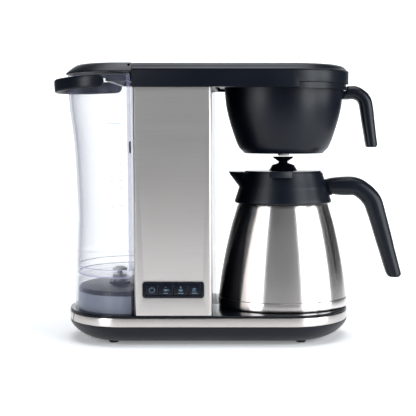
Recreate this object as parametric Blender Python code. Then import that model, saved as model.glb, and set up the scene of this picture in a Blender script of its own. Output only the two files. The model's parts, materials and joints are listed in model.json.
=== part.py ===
"""Counter-top drip coffee maker: a long low base with a water tank at its left end, a steel
tower, an arm that carries the brew basket, and a vacuum carafe that stands under the basket.

X runs to the right, Y to the back and Z up. All sizes are millimetres and the meshes are
scaled by MM, so the scene is in metres. The origin is on the floor, below the middle of the
overall box. Drawing coordinates put X = 0 at the middle of the base.
"""

import math

import bmesh
import bpy
from mathutils import Matrix, Vector

MM = 0.001

# Fits
GAP = 0.3  # between two pieces that rest on or touch each other
RUN = 0.05  # radial clearance of a pin that turns in its hole
SLIDE = 0.6  # between a sliding piece and its guide

# Base
BASE_LENGTH = 315.0
BASE_WIDTH = 178.0
END_REACH = 66.0  # how far each rounded end of the plan runs
PAN_BOTTOM = 3.2
PAN_TOP = 21.9
PAN_TUCK = 25.0  # how far the underside is drawn in
PAN_CURVE = 1.6  # power of the underside's curve
PAN_STEPS = 5
PAN_WALL = 2.5
BAND_TOP = 31.5
BAND_WALL = 1.2
DECK_TOP = 34.4
DECK_EDGE = 0.7
FOOT_RADIUS = 5.5
FOOT_X = 103.0
FOOT_Y = 53.0
BASE_SCREW_X = 112.0
BASE_SCREW_Y = 38.0
SCREW_RADIUS = 1.5
GLAND_X = -35.0
GLAND_Z = 15.8
WIRE_SLOT = (-60.0, -46.0, 30.0, 50.0)  # x0, x1, y0, y1 of the way down from the tower

# Tower
TOWER_LEFT = -76.4
TOWER_RIGHT = 5.9
TOWER_FRONT = 0.6 - BASE_WIDTH / 2  # a hair behind the base's front
TOWER_BACK = BASE_WIDTH / 2 - 3.0
TOWER_TOP = 277.4
TOWER_BEVEL = 1.8
SHEET = 1.2
REAR_COVER = BASE_WIDTH / 2 - 0.4  # how far back the rear cover reaches
CHASSIS_FRONT = TOWER_FRONT + 10.4
CHASSIS_PLATE = TOWER_BACK - 28.0  # front of the upright plate
CHASSIS_WALL = 3.0

# Keys
KEYS_X = -35.0
KEYS_WIDTH = 65.8
KEYS_LOW = 53.8
KEYS_HIGH = 71.3
KEYS_CORNER = 3.0
KEY_MIDDLE = 15.95
KEY_OUTER = 13.6
KEY_TRAVEL = 0.8
KEY_FACE = TOWER_FRONT - 0.5
KEY_DEPTH = 2.6

# Arm
ARM_LOW = 277.7
ARM_STEP = 283.4  # underside of the arm over the basket
ARM_FLOOR = 2.5
ARM_SPLIT = 295.3
ARM_TOP = 303.0
ARM_WALL = 2.6
ARM_LEFT = -77.4
RAIL_END = 98.8  # where the side walls stop and the basket's own front edge begins
RAIL_LEDGE = 2.4
RAIL_WALL = 4.2  # beside the groove that the basket's flange runs in
RAIL_HOLD = 12.2  # how far the flange lies on the ledge
COVER_WALL = 2.2

# Brew basket
BASKET_X = 84.8
BASKET_WALL = 2.2
BASKET_OUTSIDE = (
    (43.6, 206.4), (49.6, 212.0), (51.8, 216.0), (55.3, 225.0), (61.0, 243.0), (64.9, 261.0), (66.5, 280.6),
)
FLANGE_TOP = 283.0
FLANGE = 2.4
FLANGE_WIDTH = BASE_WIDTH - 2 * (RAIL_WALL + SLIDE)
FLANGE_LEFT = 12.0
FASCIA_LOW = 276.9
FASCIA_INSET = 3.0
DRAIN_RADIUS = 4.2
DRAIN_RECESS = 7.8
DRAIN_ROOF = 209.4
BASKET_HANDLE_WIDTH = 21.0
HANDLE_ROOT = BASE_LENGTH / 2 - 6.0  # where the basket's handle meets its boss
HANDLE_ROOT_Z = 271.6
HANDLE_SCREW_Y = 5.5
VALVE_TIP = 203.6
VALVE_BUTTON = 6.4

# Carafe
CARAFE_X = 84.3
CARAFE_FOOT = (73.3, 45.2)
CARAFE_OUTSIDE = (
    (73.0, 45.6), (71.1, 61.0), (69.0, 75.0), (66.4, 89.3), (63.6, 103.0), (60.6, 116.3), (57.1, 130.0),
    (51.6, 148.4),
)
STEEL = 0.8
VACUUM = 3.4  # space between the two steel walls
SHELL_LIP = 65.0  # radius where the shell turns in under the carafe
MOUTH = 37.5
MOUTH_TOP = 176.0
COLLAR = ((53.6, 150.9), (54.7, 152.0), (54.3, 154.4), (53.5, 157.0), (50.2, 167.0), (44.4, 185.0))
COLLAR_WALL = 2.8
BEAK_REACH = 17.4
BEAK_LOW = 168.6
BEAK_HALF_ANGLE = 34.0
LID_TOP = 187.0
LID_RADIUS = 43.6
LID_PLUG = 35.6
LID_BOTTOM = 162.0
DOME = (16.3, 195.5)
FUNNEL = (12.4, 202.6)
FUNNEL_BORE = 3.0
TAB_WIDTH = 25.0
TAB_LOW = 178.7
TAB_RADIUS = 50.0
CARAFE_HANDLE_WIDTH = 23.0

# Water tank
TANK_END = 91.5  # X of the centre of the tank's rounded end, to the left
TANK_RIGHT = -77.5
TANK_WALL = 2.4
TANK_LOW = 34.8
TANK_RIM = 291.6
TANK_FLOOR = 69.5
TANK_FLOOR_THICK = 3.0
TANK_SECTIONS = (  # height, reach of the rounded end, half width
    (34.8, 60.4, 80.0), (82.0, 58.9, 79.0), (110.0, 57.3, 78.2), (140.0, 56.1, 78.0), (182.0, 57.2, 79.0),
    (218.0, 59.2, 80.6), (254.0, 63.2, 83.0), (268.0, 64.2, 83.8), (291.6, 65.0, 84.2),
)
DOCK_TOP = 58.3
OUTLET_X = -101.4
OUTLET_RADIUS = 3.4
NECK_OUTER = 11.0
NECK_INNER = 8.6
NECK_LOW = 61.0
LID_LOW = 293.5
LID_HIGH = 304.0
LID_REACH = 67.0
LID_HALF = 86.0
LID_SEAM = -78.2
LID_HINGE = (-81.5, 301.0)
HINGE_PIN = 1.5
BAIL_PIVOT = (-113.5, 283.5)
BAIL_REACH = 57.7
BAIL_OUTER = 90.3
BAIL_THICK = 3.4
BAIL_HEIGHT = 13.7
BAIL_DROOP = 3.5
PIVOT_RADIUS = 2.45

# Water path
BOILER_X = -36.0
BOILER_Y = 12.0
BOILER_PAD = 10.4  # how far its flat front stands out from its axis
BOILER_LOW = 92.0
BOILER_HIGH = 214.0
HOSE_OUTER = 4.6
HOSE_INNER = 3.2
RISER_Z = 292.6
RISER_OUTER = 3.2
RISER_INNER = 2.5
SHOWER_RADIUS = 28.0
BASE_HOSE_Z = 18.0

# The overall box is centred on the origin across X.
HANDLE_TIP_X = 218.9
BASKET_HANDLE_TIP = 38.9  # how far the basket's handle reaches past its root
BAIL_TIP_X = (BAIL_PIVOT[0] - BAIL_REACH * math.cos(math.radians(BAIL_DROOP))
              - BAIL_HEIGHT / 2 * math.sin(math.radians(BAIL_DROOP)))
CENTRE_X = (max(HANDLE_TIP_X, HANDLE_ROOT + BASKET_HANDLE_TIP) + min(BAIL_TIP_X, -BASE_LENGTH / 2)) / 2

ROUND = 30
SMALL = 12


def clear_scene():
    for obj in list(bpy.data.objects):
        bpy.data.objects.remove(obj)


def frame_root():
    root = bpy.data.objects.new("machine_frame", None)
    root.location = (-CENTRE_X * MM, 0, 0)
    root.empty_display_size = 0.05
    bpy.context.scene.collection.objects.link(root)
    return root


def material(name, colour, roughness=0.4, metallic=0.0, alpha=1.0):
    made = bpy.data.materials.get(name) or bpy.data.materials.new(name)
    made.use_nodes = True
    shader = made.node_tree.nodes["Principled BSDF"]
    shader.inputs["Base Color"].default_value = (*colour, 1)
    shader.inputs["Roughness"].default_value = roughness
    shader.inputs["Metallic"].default_value = metallic
    shader.inputs["Alpha"].default_value = alpha
    return made


def finish(name, bm, look, origin=(0, 0, 0)):
    """An object whose own origin is at the given drawing point."""
    bmesh.ops.recalc_face_normals(bm, faces=bm.faces[:])
    bmesh.ops.translate(bm, vec=-Vector(origin), verts=bm.verts[:])
    bmesh.ops.scale(bm, vec=(MM, MM, MM), verts=bm.verts[:])
    mesh = bpy.data.meshes.new(name)
    bm.to_mesh(mesh)
    bm.free()
    obj = bpy.data.objects.new(name, mesh)
    obj.location = Vector(origin) * MM
    obj.parent = ROOT
    if look:
        mesh.materials.append(material(name, *look))
    bpy.context.scene.collection.objects.link(obj)
    return obj


def boolean(obj, operation, shapes):
    """Cuts with or joins each closed shape, kept as a hidden helper object."""
    for number, bm in enumerate(shapes):
        helper = finish(f"{obj.name}_{operation.lower()}_{len(obj.modifiers)}", bm, None)
        helper.hide_render = True
        helper.display_type = "WIRE"
        step = obj.modifiers.new(f"{operation.lower()} {number}", "BOOLEAN")
        step.operation = operation
        step.solver = "EXACT"
        step.object = helper


def cut(obj, *shapes):
    boolean(obj, "DIFFERENCE", shapes)


def join(obj, *shapes):
    boolean(obj, "UNION", shapes)


def loft(rings, closed=False):
    """A skin over rings with the same number of points, capped at both ends unless it closes."""
    bm = bmesh.new()
    rows = [[bm.verts.new(point) for point in ring] for ring in rings]
    pairs = list(zip(rows, rows[1:]))
    if closed:
        pairs.append((rows[-1], rows[0]))
    else:
        bm.faces.new(rows[0])
        bm.faces.new(rows[-1])
    for low, high in pairs:
        for i in range(len(low)):
            j = (i + 1) % len(low)
            bm.faces.new((low[i], low[j], high[j], high[i]))
    return bm


def lathe(profile, centre=(0, 0), count=ROUND, closed=False):
    """A turned shape from (radius, height) points. Points on the axis become poles."""
    bm = bmesh.new()
    rows = []
    for radius, z in profile:
        if radius < 1e-6:
            rows.append([bm.verts.new((centre[0], centre[1], z))])
            continue
        angles = [math.tau * i / count for i in range(count)]
        rows.append([
            bm.verts.new((centre[0] + radius * math.cos(a), centre[1] + radius * math.sin(a), z))
            for a in angles
        ])
    pairs = list(zip(rows, rows[1:]))
    if closed:
        pairs.append((rows[-1], rows[0]))
    for low, high in pairs:
        for i in range(count):
            j = (i + 1) % count
            if len(low) == len(high) == 1:
                break
            if len(low) == 1:
                bm.faces.new((low[0], high[j], high[i]))
            elif len(high) == 1:
                bm.faces.new((low[i], low[j], high[0]))
            else:
                bm.faces.new((low[i], low[j], high[j], high[i]))
    if not closed:
        for row in (rows[0], rows[-1]):
            if len(row) > 1:
                bm.faces.new(row)
    return bm


def prism(outline, low, high):
    return loft([[(x, y, z) for x, y in outline] for z in (low, high)])


def block(x0, x1, y0, y1, z0, z1):
    return prism(((x0, y0), (x1, y0), (x1, y1), (x0, y1)), z0, z1)


def rod(start, end, radius, count=SMALL):
    """A round bar between two points along any direction."""
    start, end = Vector(start), Vector(end)
    turn = (end - start).to_track_quat("Z", "X").to_matrix()
    ring = [
        turn @ Vector((radius * math.cos(math.tau * i / count),
                       radius * math.sin(math.tau * i / count), 0))
        for i in range(count)
    ]
    return loft([[point + p for p in ring] for point in (start, end)])


def plate(outline, y0, y1):
    """A prism along Y from (x, z) points."""
    return loft([[(x, y, z) for x, z in outline] for y in (y0, y1)])


def rounded_rectangle(x0, x1, z0, z1, radius, steps=4):
    points = []
    corners = ((x1 - radius, z1 - radius, 0), (x0 + radius, z1 - radius, 1),
               (x0 + radius, z0 + radius, 2), (x1 - radius, z0 + radius, 3))
    for x, z, quarter in corners:
        for i in range(steps + 1):
            a = math.pi / 2 * (quarter + i / steps)
            points.append((x + radius * math.cos(a), z + radius * math.sin(a)))
    return points


def bent_path(corners, bends, steps=4):
    """A path through corners. Each curve starts the given distance before its corner."""
    points = [Vector(corners[0])]
    for before, corner, after, bend in zip(corners, corners[1:], corners[2:], bends):
        before, corner, after = Vector(before), Vector(corner), Vector(after)
        start = corner + (before - corner).normalized() * bend
        end = corner + (after - corner).normalized() * bend
        for i in range(steps + 1):
            t = i / steps
            points.append(start * (1 - t) ** 2 + corner * 2 * t * (1 - t) + end * t * t)
    points.append(Vector(corners[-1]))
    return points


def path_rings(path, radius, count):
    """Rings square to a path, each carried on from the one before without twist."""
    rings, normal = [], None
    for i, point in enumerate(path):
        along = (path[min(i + 1, len(path) - 1)] - path[max(i - 1, 0)]).normalized()
        if normal is None:
            normal = along.orthogonal().normalized()
        normal = (normal - along * normal.dot(along)).normalized()
        side = along.cross(normal)
        rings.append([
            point + radius * (normal * math.cos(math.tau * k / count)
                              + side * math.sin(math.tau * k / count))
            for k in range(count)
        ])
    return rings


def hose(path, outer, inner, count=10):
    """A hollow tube along a path, open at both ends."""
    outside = path_rings(path, outer, count)
    inside = path_rings(path, inner, count)
    return loft(outside + inside[::-1], closed=True)


def coil(centre, low, high, radius, wire, turns, count=12, sides=4):
    steps = int(turns * count)
    path = [
        Vector((centre[0] + radius * math.cos(math.tau * i / count),
                centre[1] + radius * math.sin(math.tau * i / count),
                low + wire + (high - low - 2 * wire) * i / steps))
        for i in range(steps + 1)
    ]
    return loft(path_rings(path, wire, sides))


def grip(outer, inner, width, sides=12, softness=2.6):
    """Rounded sections of a handle, one for each pair of points of its two edges in the XZ plane."""
    rings = []
    for (xo, zo), (xi, zi) in zip(outer, inner):
        middle = Vector(((xo + xi) / 2, 0, (zo + zi) / 2))
        half = Vector(((xo - xi) / 2, 0, (zo - zi) / 2))
        ring = []
        for k in range(sides):
            u, v = math.cos(math.tau * k / sides), math.sin(math.tau * k / sides)
            swell = (abs(u) ** softness + abs(v) ** softness) ** (-1 / softness)
            ring.append(middle + half * (u * swell) + Vector((0, width / 2 * v * swell, 0)))
        rings.append(ring)
    return rings


def end_arc(centre_x, reach, half, side, steps=12):
    """Half an ellipse that closes one end of a plan, from front to back on the right."""
    return [
        (centre_x + side * reach * math.cos(a), half * math.sin(a) * side)
        for a in (math.pi * (i / steps - 0.5) for i in range(steps + 1))
    ]


def base_plan(inset=0.0):
    centre = BASE_LENGTH / 2 - END_REACH
    reach, half = END_REACH - inset, BASE_WIDTH / 2 - inset
    return end_arc(centre, reach, half, 1) + end_arc(-centre, reach, half, -1)


def arm_plan(inset=0.0, left=ARM_LEFT):
    """The base's right end, cut off square at the left."""
    centre = BASE_LENGTH / 2 - END_REACH
    reach, half = END_REACH - inset, BASE_WIDTH / 2 - inset
    return end_arc(centre, reach, half, 1) + [(left, half), (left, -half)]


def tank_plan(reach, half, inset, right=TANK_RIGHT, corner=4.0):
    """Rounded on the left and flat with small corners on the right."""
    half, reach, right = half - inset, reach - inset, right - inset
    radius = max(corner - inset, 1.2)
    front = [(right - radius + radius * math.sin(a), -half + radius - radius * math.cos(a))
             for a in (0.0, math.pi / 4, math.pi / 2)]
    back = [(x, -y) for x, y in front[::-1]]
    return front + back + end_arc(-TANK_END, reach, half, -1)


def tank_section(z):
    for (z0, r0, h0), (z1, r1, h1) in zip(TANK_SECTIONS, TANK_SECTIONS[1:]):
        if z <= z1:
            t = (z - z0) / (z1 - z0)
            return r0 + (r1 - r0) * t, h0 + (h1 - h0) * t
    return TANK_SECTIONS[-1][1:]


def level(plan, z):
    return [(x, y, z) for x, y in plan]


# Looks: colour, roughness, metallic, alpha
BLACK = ((0.012, 0.015, 0.022), 0.42)
GREY_PLASTIC = ((0.10, 0.11, 0.13), 0.5)
RUBBER = ((0.02, 0.02, 0.02), 0.8)
BRUSHED = ((0.58, 0.56, 0.54), 0.32, 1.0)
BRIGHT = ((0.7, 0.7, 0.7), 0.2, 1.0)
CAST = ((0.45, 0.45, 0.46), 0.6, 1.0)
CLEAR = ((0.86, 0.87, 0.95), 0.06, 0.0, 0.25)
WHITE = ((0.85, 0.85, 0.83), 0.45)
SILICONE = ((0.75, 0.72, 0.68), 0.6)
BOARD = ((0.03, 0.16, 0.08), 0.5)


def base_pan():
    rows = []
    for k in range(PAN_STEPS + 1):
        u = k / PAN_STEPS
        tuck = PAN_TUCK * (1 - (1 - u**PAN_CURVE) ** (1 / PAN_CURVE))
        rows.append((tuck, PAN_TOP - (PAN_TOP - PAN_BOTTOM) * u))
    outside = [level(base_plan(tuck), z) for tuck, z in rows[::-1]]
    inside = [level(base_plan(tuck + PAN_WALL), z) for tuck, z in rows[:-2]]
    inside.append(level(base_plan(PAN_TUCK + PAN_WALL), PAN_BOTTOM + PAN_WALL))
    pan = finish("base_pan", loft(outside + inside), BLACK)
    for x in (-BASE_SCREW_X, BASE_SCREW_X):
        for y in (-BASE_SCREW_Y, BASE_SCREW_Y):
            join(pan, lathe(((4.5, 4.0), (4.5, 11.0)), (x, y), SMALL))
            cut(pan, lathe(((0, 0), (3.6, 0), (3.6, 7.0), (1.8, 7.0), (1.8, 20), (0, 20)), (x, y), SMALL))
    for x in (-FOOT_X, FOOT_X):
        for y in (-FOOT_Y, FOOT_Y):
            cut(pan, lathe(((2.3, 0), (2.3, 12)), (x, y), SMALL))
    back = BASE_WIDTH / 2
    cut(pan, rod((GLAND_X, back - 29, GLAND_Z), (GLAND_X, back + 21, GLAND_Z), 5.6))
    for k in range(5):
        x = -20 + 10 * k
        cut(pan, block(x - 1.5, x + 1.5, -18, 18, 0, 12))
    return pan


def base_band():
    low, high = PAN_TOP + GAP, BAND_TOP
    return finish("base_band", loft([
        level(base_plan(0.3), low), level(base_plan(0.1), low + 0.4),
        level(base_plan(0.1), high - 0.4), level(base_plan(0.3), high),
        level(base_plan(BAND_WALL), high), level(base_plan(BAND_WALL), low),
    ], closed=True), BRUSHED)


def base_deck():
    under = BAND_TOP + GAP
    skirt = BAND_WALL + GAP
    deck = finish("base_deck", loft([
        level(base_plan(skirt + 2.2), under), level(base_plan(skirt + 2.2), PAN_TOP + 0.6),
        level(base_plan(skirt), PAN_TOP + 0.6), level(base_plan(skirt), under),
        level(base_plan(DECK_EDGE), under), level(base_plan(0), under + DECK_EDGE),
        level(base_plan(0), DECK_TOP - DECK_EDGE), level(base_plan(DECK_EDGE), DECK_TOP),
    ]), BLACK)
    for x in (-BASE_SCREW_X, BASE_SCREW_X):
        for y in (-BASE_SCREW_Y, BASE_SCREW_Y):
            join(deck, lathe(((4.0, 11.4), (4.0, 32.2)), (x, y), SMALL))
            cut(deck, lathe(((1.8, 10), (1.8, 24)), (x, y), SMALL))
    cut(deck, lathe(((6.2, 20), (6.2, 40)), (OUTLET_X, 0), SMALL))
    cut(deck, lathe(((6.2, 20), (6.2, 40)), (BOILER_X, BOILER_Y), SMALL))
    cut(deck, block(*WIRE_SLOT, 20, 40))
    return deck


def base_feet():
    for side, x in (("left", -FOOT_X), ("right", FOOT_X)):
        for end, y in (("front", -FOOT_Y), ("back", FOOT_Y)):
            finish(f"foot_{end}_{side}", lathe((
                (0, 0), (FOOT_RADIUS - 1, 0), (FOOT_RADIUS, 0.8), (FOOT_RADIUS, PAN_BOTTOM - GAP),
                (2.0, PAN_BOTTOM - GAP), (2.0, 8.0), (0, 8.0),
            ), (x, y), SMALL), RUBBER)


def base_screws():
    for side, x in (("left", -BASE_SCREW_X), ("right", BASE_SCREW_X)):
        for end, y in (("front", -BASE_SCREW_Y), ("back", BASE_SCREW_Y)):
            finish(f"base_screw_{end}_{side}", lathe((
                (0, 4.4), (3.0, 4.4), (3.3, 5.0), (3.3, 6.7), (SCREW_RADIUS, 6.7),
                (SCREW_RADIUS, 22.0), (0, 23.0),
            ), (x, y), 16), BRIGHT)


def cord_gland():
    y = BASE_WIDTH / 2
    gland = finish("cord_gland", rod((GLAND_X, y - 18, GLAND_Z), (GLAND_X, y - 1, GLAND_Z), 5.3), BLACK)
    join(gland, rod((GLAND_X, y - 18, GLAND_Z), (GLAND_X, y - 15.5, GLAND_Z), 6.3))
    cut(gland, rod((GLAND_X, y - 20, GLAND_Z), (GLAND_X, y + 5, GLAND_Z), 3.4))
    return gland


def tower_wrap():
    """The folded steel sheet: the tower's front and both of its sides."""
    b, t = TOWER_BEVEL, SHEET
    x0, x1, y0, y1 = TOWER_LEFT, TOWER_RIGHT, TOWER_FRONT, TOWER_BACK
    plan = ((x0, y1), (x0, y0 + b), (x0 + b, y0), (x1 - b, y0), (x1, y0 + b), (x1, y1),
            (x1 - t, y1), (x1 - t, y0 + b + 0.5), (x1 - b - 0.5, y0 + t),
            (x0 + b + 0.5, y0 + t), (x0 + t, y0 + b + 0.5), (x0 + t, y1))
    wrap = finish("tower_wrap", prism(plan, DECK_TOP + GAP, TOWER_TOP), BRUSHED)
    half = KEYS_WIDTH / 2
    hole = rounded_rectangle(KEYS_X - half + 1.2, KEYS_X + half - 1.2, KEYS_LOW + 1.2,
                             KEYS_HIGH - 1.2, KEYS_CORNER - 1.0)
    cut(wrap, plate(hole, y0 - 5, y0 + 5))
    return wrap


def tower_rear():
    x0, x1 = TOWER_LEFT + SHEET + GAP, TOWER_RIGHT - SHEET - GAP
    low, high = DECK_TOP + GAP, TOWER_TOP
    rear = finish("tower_rear_cover", block(
        TOWER_LEFT + 0.2, TOWER_RIGHT - 0.2, TOWER_BACK + GAP, REAR_COVER, low, high), BLACK)
    join(rear, block(x0, x0 + 2, TOWER_BACK - 16, TOWER_BACK + 1, low, high),
         block(x1 - 2, x1, TOWER_BACK - 16, TOWER_BACK + 1, low, high))
    for k in range(6):
        z = 210 + 9 * k
        cut(rear, block(-62, -8, TOWER_BACK - 5, REAR_COVER + 5, z, z + 3))
    return rear


def tower_chassis():
    """The upright that the boiler, the boards and the arm are fixed to."""
    x0, x1 = TOWER_LEFT + 4.0, TOWER_RIGHT - 4.0
    low, high = DECK_TOP + GAP, TOWER_TOP - GAP
    plate_y, wall = CHASSIS_PLATE, CHASSIS_WALL
    front, back = CHASSIS_FRONT, plate_y + wall - 1
    chassis = finish("tower_chassis", block(x0, x1, plate_y, plate_y + wall, low, high), GREY_PLASTIC)
    join(chassis, block(x0, x1, front, back, low, low + wall), block(x0, x1, front, back, high - wall, high))
    join(chassis, block(x0, x0 + wall, front, back, low, high))
    join(chassis, block(x0 + 1, x1 - 8, BOILER_Y - 22, back, 80, 83))
    for z in (20, 75, 260):
        cut(chassis, lathe(((0, z), (7, z), (7, z + 25), (0, z + 25)), (BOILER_X, BOILER_Y), SMALL))
    cut(chassis, block(*WIRE_SLOT, 30, 45))
    cut(chassis, lathe(((6, 75), (6, 90)), (BOILER_X - 17, BOILER_Y), SMALL))
    return chassis


def key_bezel():
    half = KEYS_WIDTH / 2
    front = TOWER_FRONT - 0.5
    outline = rounded_rectangle(KEYS_X - half, KEYS_X + half, KEYS_LOW, KEYS_HIGH, KEYS_CORNER)
    bezel = finish("key_bezel", plate(outline, front, TOWER_FRONT - GAP / 2), BLACK)
    inner = rounded_rectangle(KEYS_X - half + 1.5, KEYS_X + half - 1.5, KEYS_LOW + 1.5,
                              KEYS_HIGH - 1.5, KEYS_CORNER - 1.4)
    join(bezel, plate(inner, front + 0.2, TOWER_FRONT + 4.0))
    low, high = KEYS_LOW + 2.4, KEYS_HIGH - 2.4
    edges = key_edges()
    cut(bezel, block(edges[0][0] - 0.4, edges[-1][1] + 0.4, front - 5, TOWER_FRONT + 3, low, high))
    cut(bezel, block(edges[0][0] + 1, edges[-1][1] - 1, front, TOWER_FRONT + 9, low + 1, high - 1))
    return bezel


def key_edges():
    x = KEYS_X - KEY_MIDDLE - KEY_OUTER
    edges = []
    for width in (KEY_OUTER, KEY_MIDDLE, KEY_MIDDLE, KEY_OUTER):
        edges.append((x + GAP / 2, x + width - GAP / 2))
        x += width
    return edges


def keys():
    low, high = KEYS_LOW + 2.7, KEYS_HIGH - 2.7
    for name, (x0, x1) in zip(("power", "brew", "bloom", "warm"), key_edges()):
        back = KEY_FACE + KEY_DEPTH
        middle = ((x0 + x1) / 2, back, (low + high) / 2)
        rows = [[(x, y, z) for x, z in ((x0 + s, low + s), (x1 - s, low + s), (x1 - s, high - s),
                                        (x0 + s, high - s))]
                for y, s in ((KEY_FACE, 0.5), (KEY_FACE + 0.5, 0.0), (back, 0.0))]
        finish(f"key_{name}", loft(rows), BLACK, middle)


def key_pad():
    """A silicone sheet with one soft dome behind each key."""
    edges = key_edges()
    y = TOWER_FRONT + 4.0 + GAP
    pad = finish("key_pad", block(edges[0][0] + 2, edges[-1][1] - 2, y, y + 1.2,
                                  KEYS_LOW + 3.6, KEYS_HIGH - 3.6), SILICONE)
    z = (KEYS_LOW + KEYS_HIGH) / 2
    back = KEY_FACE + KEY_DEPTH + KEY_TRAVEL + 0.1
    for x0, x1 in edges:
        x = (x0 + x1) / 2
        join(pad, rod((x, back, z), (x, y + 0.5, z), 3.0, 16))
    return pad


def control_board():
    y = TOWER_FRONT + 5.2 + 2 * GAP
    edges = key_edges()
    board = finish("control_board", block(edges[0][0] - 2, edges[-1][1] + 2, y, y + 1.6, 46, 79), BOARD)
    join(board, block(-60, -44, y + 1, y + 7, 49, 59), block(-30, -18, y + 1, y + 4, 50, 60))
    return board


def boiler():
    """A cast aluminium block with a water bore, a heater bore beside it and two fixing ears."""
    x, y = BOILER_X, BOILER_Y
    body = finish("boiler", rod((x, y, BOILER_LOW), (x, y, BOILER_HIGH), 10.0), CAST)
    join(body, rod((x - 17, y, BOILER_LOW + 4), (x - 17, y, BOILER_HIGH - 4), 9.0))
    join(body, block(x - 17, x, y - 6, y + 6, BOILER_LOW + 6, BOILER_HIGH - 6))
    join(body, block(x - 16, x - 1, y - BOILER_PAD, y, 116, 182))
    for z in (112, 190):
        join(body, block(x - 14, x - 4, y + 4, CHASSIS_PLATE - GAP, z, z + 6))
    join(body, rod((x, y, BOILER_LOW - 9), (x, y, BOILER_HIGH + 9), 4.2))
    cut(body, rod((x, y, BOILER_LOW - 20), (x, y, BOILER_HIGH + 20), 2.4))
    cut(body, rod((x - 17, y, BOILER_LOW - 20), (x - 17, y, BOILER_HIGH + 20), 4.4))
    return body


def heater_element():
    x, y = BOILER_X - 17, BOILER_Y
    element = finish("heater_element", rod((x, y, BOILER_LOW - 8), (x, y, BOILER_HIGH + 6), 4.1), BRIGHT)
    join(element, rod((x, y, BOILER_LOW - 14), (x, y, BOILER_HIGH + 12), 1.4, 12))
    return element


def thermostat():
    x, y, z = BOILER_X - 8.5, BOILER_Y - BOILER_PAD - GAP, 168
    body = finish("thermostat", rod((x, y, z), (x, y - 4, z), 8.0), BRIGHT)
    join(body, rod((x, y - 3.5, z), (x, y - 9, z), 6.0))
    join(body, block(x - 5.5, x - 4.5, y - 15, y - 8, z - 2.5, z + 2.5),
         block(x + 4.0, x + 5.0, y - 15, y - 8, z - 2.5, z + 2.5))
    return body


def thermal_fuse():
    x, y, z = BOILER_X - 8.5, BOILER_Y - BOILER_PAD - GAP, 134
    fuse = finish("thermal_fuse", block(x - 3, x + 3, y - 4.5, y, z - 10, z + 10), WHITE)
    join(fuse, rod((x, y - 2.2, z - 18), (x, y - 2.2, z + 18), 0.7, 12))
    return fuse


def power_board():
    front = CHASSIS_PLATE + CHASSIS_WALL + 0.4
    face = front + 0.6
    board = finish("power_board", block(-66, -4, front, front + 1.6, 52, 118), BOARD)
    join(board, block(-60, -40, face, face + 16, 60, 76), block(-30, -14, face, face + 12, 56, 74),
         rod((-50, face, 98), (-50, face + 16, 98), 7.5), block(-28, -10, face, face + 8, 90, 104))
    return board


def tank_dock():
    """The raised seat that stands inside the tank's skirt."""
    rows = []
    for z, inset in ((DECK_TOP + GAP, 0.0), (53.6, 0.0), (57.4, 0.7), (DOCK_TOP, 2.2)):
        reach, half = tank_section(z)
        rows.append(level(tank_plan(reach, half, TANK_WALL + 1.2 + inset), z))
    dock = finish("tank_dock", loft(rows), BLACK)
    cut(dock, lathe(((6.4, 30), (6.4, 70)), (OUTLET_X, 0), SMALL))
    hollow = [level(tank_plan(*tank_section(z), TANK_WALL + 4.0), z) for z in (30.0, 54.6)]
    cut(dock, loft(hollow))
    return dock


def dock_inlet():
    """A spigot that meets the tank's valve and leads down to the cold hose."""
    return finish("dock_inlet", lathe((
        (2.0, BASE_HOSE_Z + 11.8), (4.2, BASE_HOSE_Z + 11.8), (4.2, 52.4), (9.6, 52.4), (9.6, 54.2),
        (6.0, 54.2), (6.0, 59.2), (4.6, 60.6), (2.0, 60.6),
    ), (OUTLET_X, 0), SMALL, closed=True), GREY_PLASTIC)


def tank_body():
    high = [z for z, _, _ in TANK_SECTIONS]
    outside = [level(tank_plan(*tank_section(z), 0), z) for z in high]
    reach, half = TANK_SECTIONS[-1][1:]
    rim = [level(tank_plan(reach, half, TANK_WALL), TANK_RIM)]
    inside = [level(tank_plan(*tank_section(z), TANK_WALL), z) for z in high[-2:1:-1]]
    bottom = TANK_FLOOR + TANK_FLOOR_THICK
    inside.append(level(tank_plan(*tank_section(bottom + 5), TANK_WALL), bottom + 5))
    inside.append(level(tank_plan(*tank_section(bottom), TANK_WALL + 1.5, corner=5), bottom + 1.5))
    inside.append(level(tank_plan(*tank_section(bottom), TANK_WALL + 5, corner=8), bottom))
    tank = finish("tank_body", loft(outside + rim + inside), CLEAR)
    well = [level(tank_plan(*tank_section(max(z, TANK_LOW)), TANK_WALL + inset), z)
            for z, inset in ((20.0, 0), (TANK_LOW, 0), (68.0, 0), (TANK_FLOOR, 1.5))]
    cut(tank, loft(well))
    cut(tank, lathe(((0, 60), (OUTLET_RADIUS, 60), (OUTLET_RADIUS, 80), (0, 80)), (OUTLET_X, 0), SMALL))
    join(tank, lathe(((NECK_INNER, NECK_LOW), (NECK_OUTER, NECK_LOW), (NECK_OUTER, TANK_FLOOR + 1.5),
                      (NECK_INNER, TANK_FLOOR + 1.5)), (OUTLET_X, 0), SMALL, closed=True))
    x, z = BAIL_PIVOT
    face = BAIL_OUTER - BAIL_THICK - 4 * GAP
    for side in (-1, 1):
        join(tank, rod((x, side * (BAIL_OUTER - 14.9), z), (x, side * face, z), 5.0))
        join(tank, rod((x, side * (face - 1), z), (x, side * (BAIL_OUTER - 0.2), z), PIVOT_RADIUS, 32))
    return tank


def tank_valve():
    return finish("tank_valve", lathe((
        (0, 61.6), (6.0, 61.6), (6.8, 62.2), (6.8, 63.8), (2.6, 63.8), (2.6, 74.0),
        (8.0, 74.0), (8.0, 76.0), (3.0, 78.6), (0, 78.6),
    ), (OUTLET_X, 0), SMALL), WHITE, (OUTLET_X, 0, 61.6))


def tank_valve_spring():
    return finish("tank_valve_spring", coil((OUTLET_X, 0), 64.0, 69.3, 4.6, 0.4, 3), BRIGHT)


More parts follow.
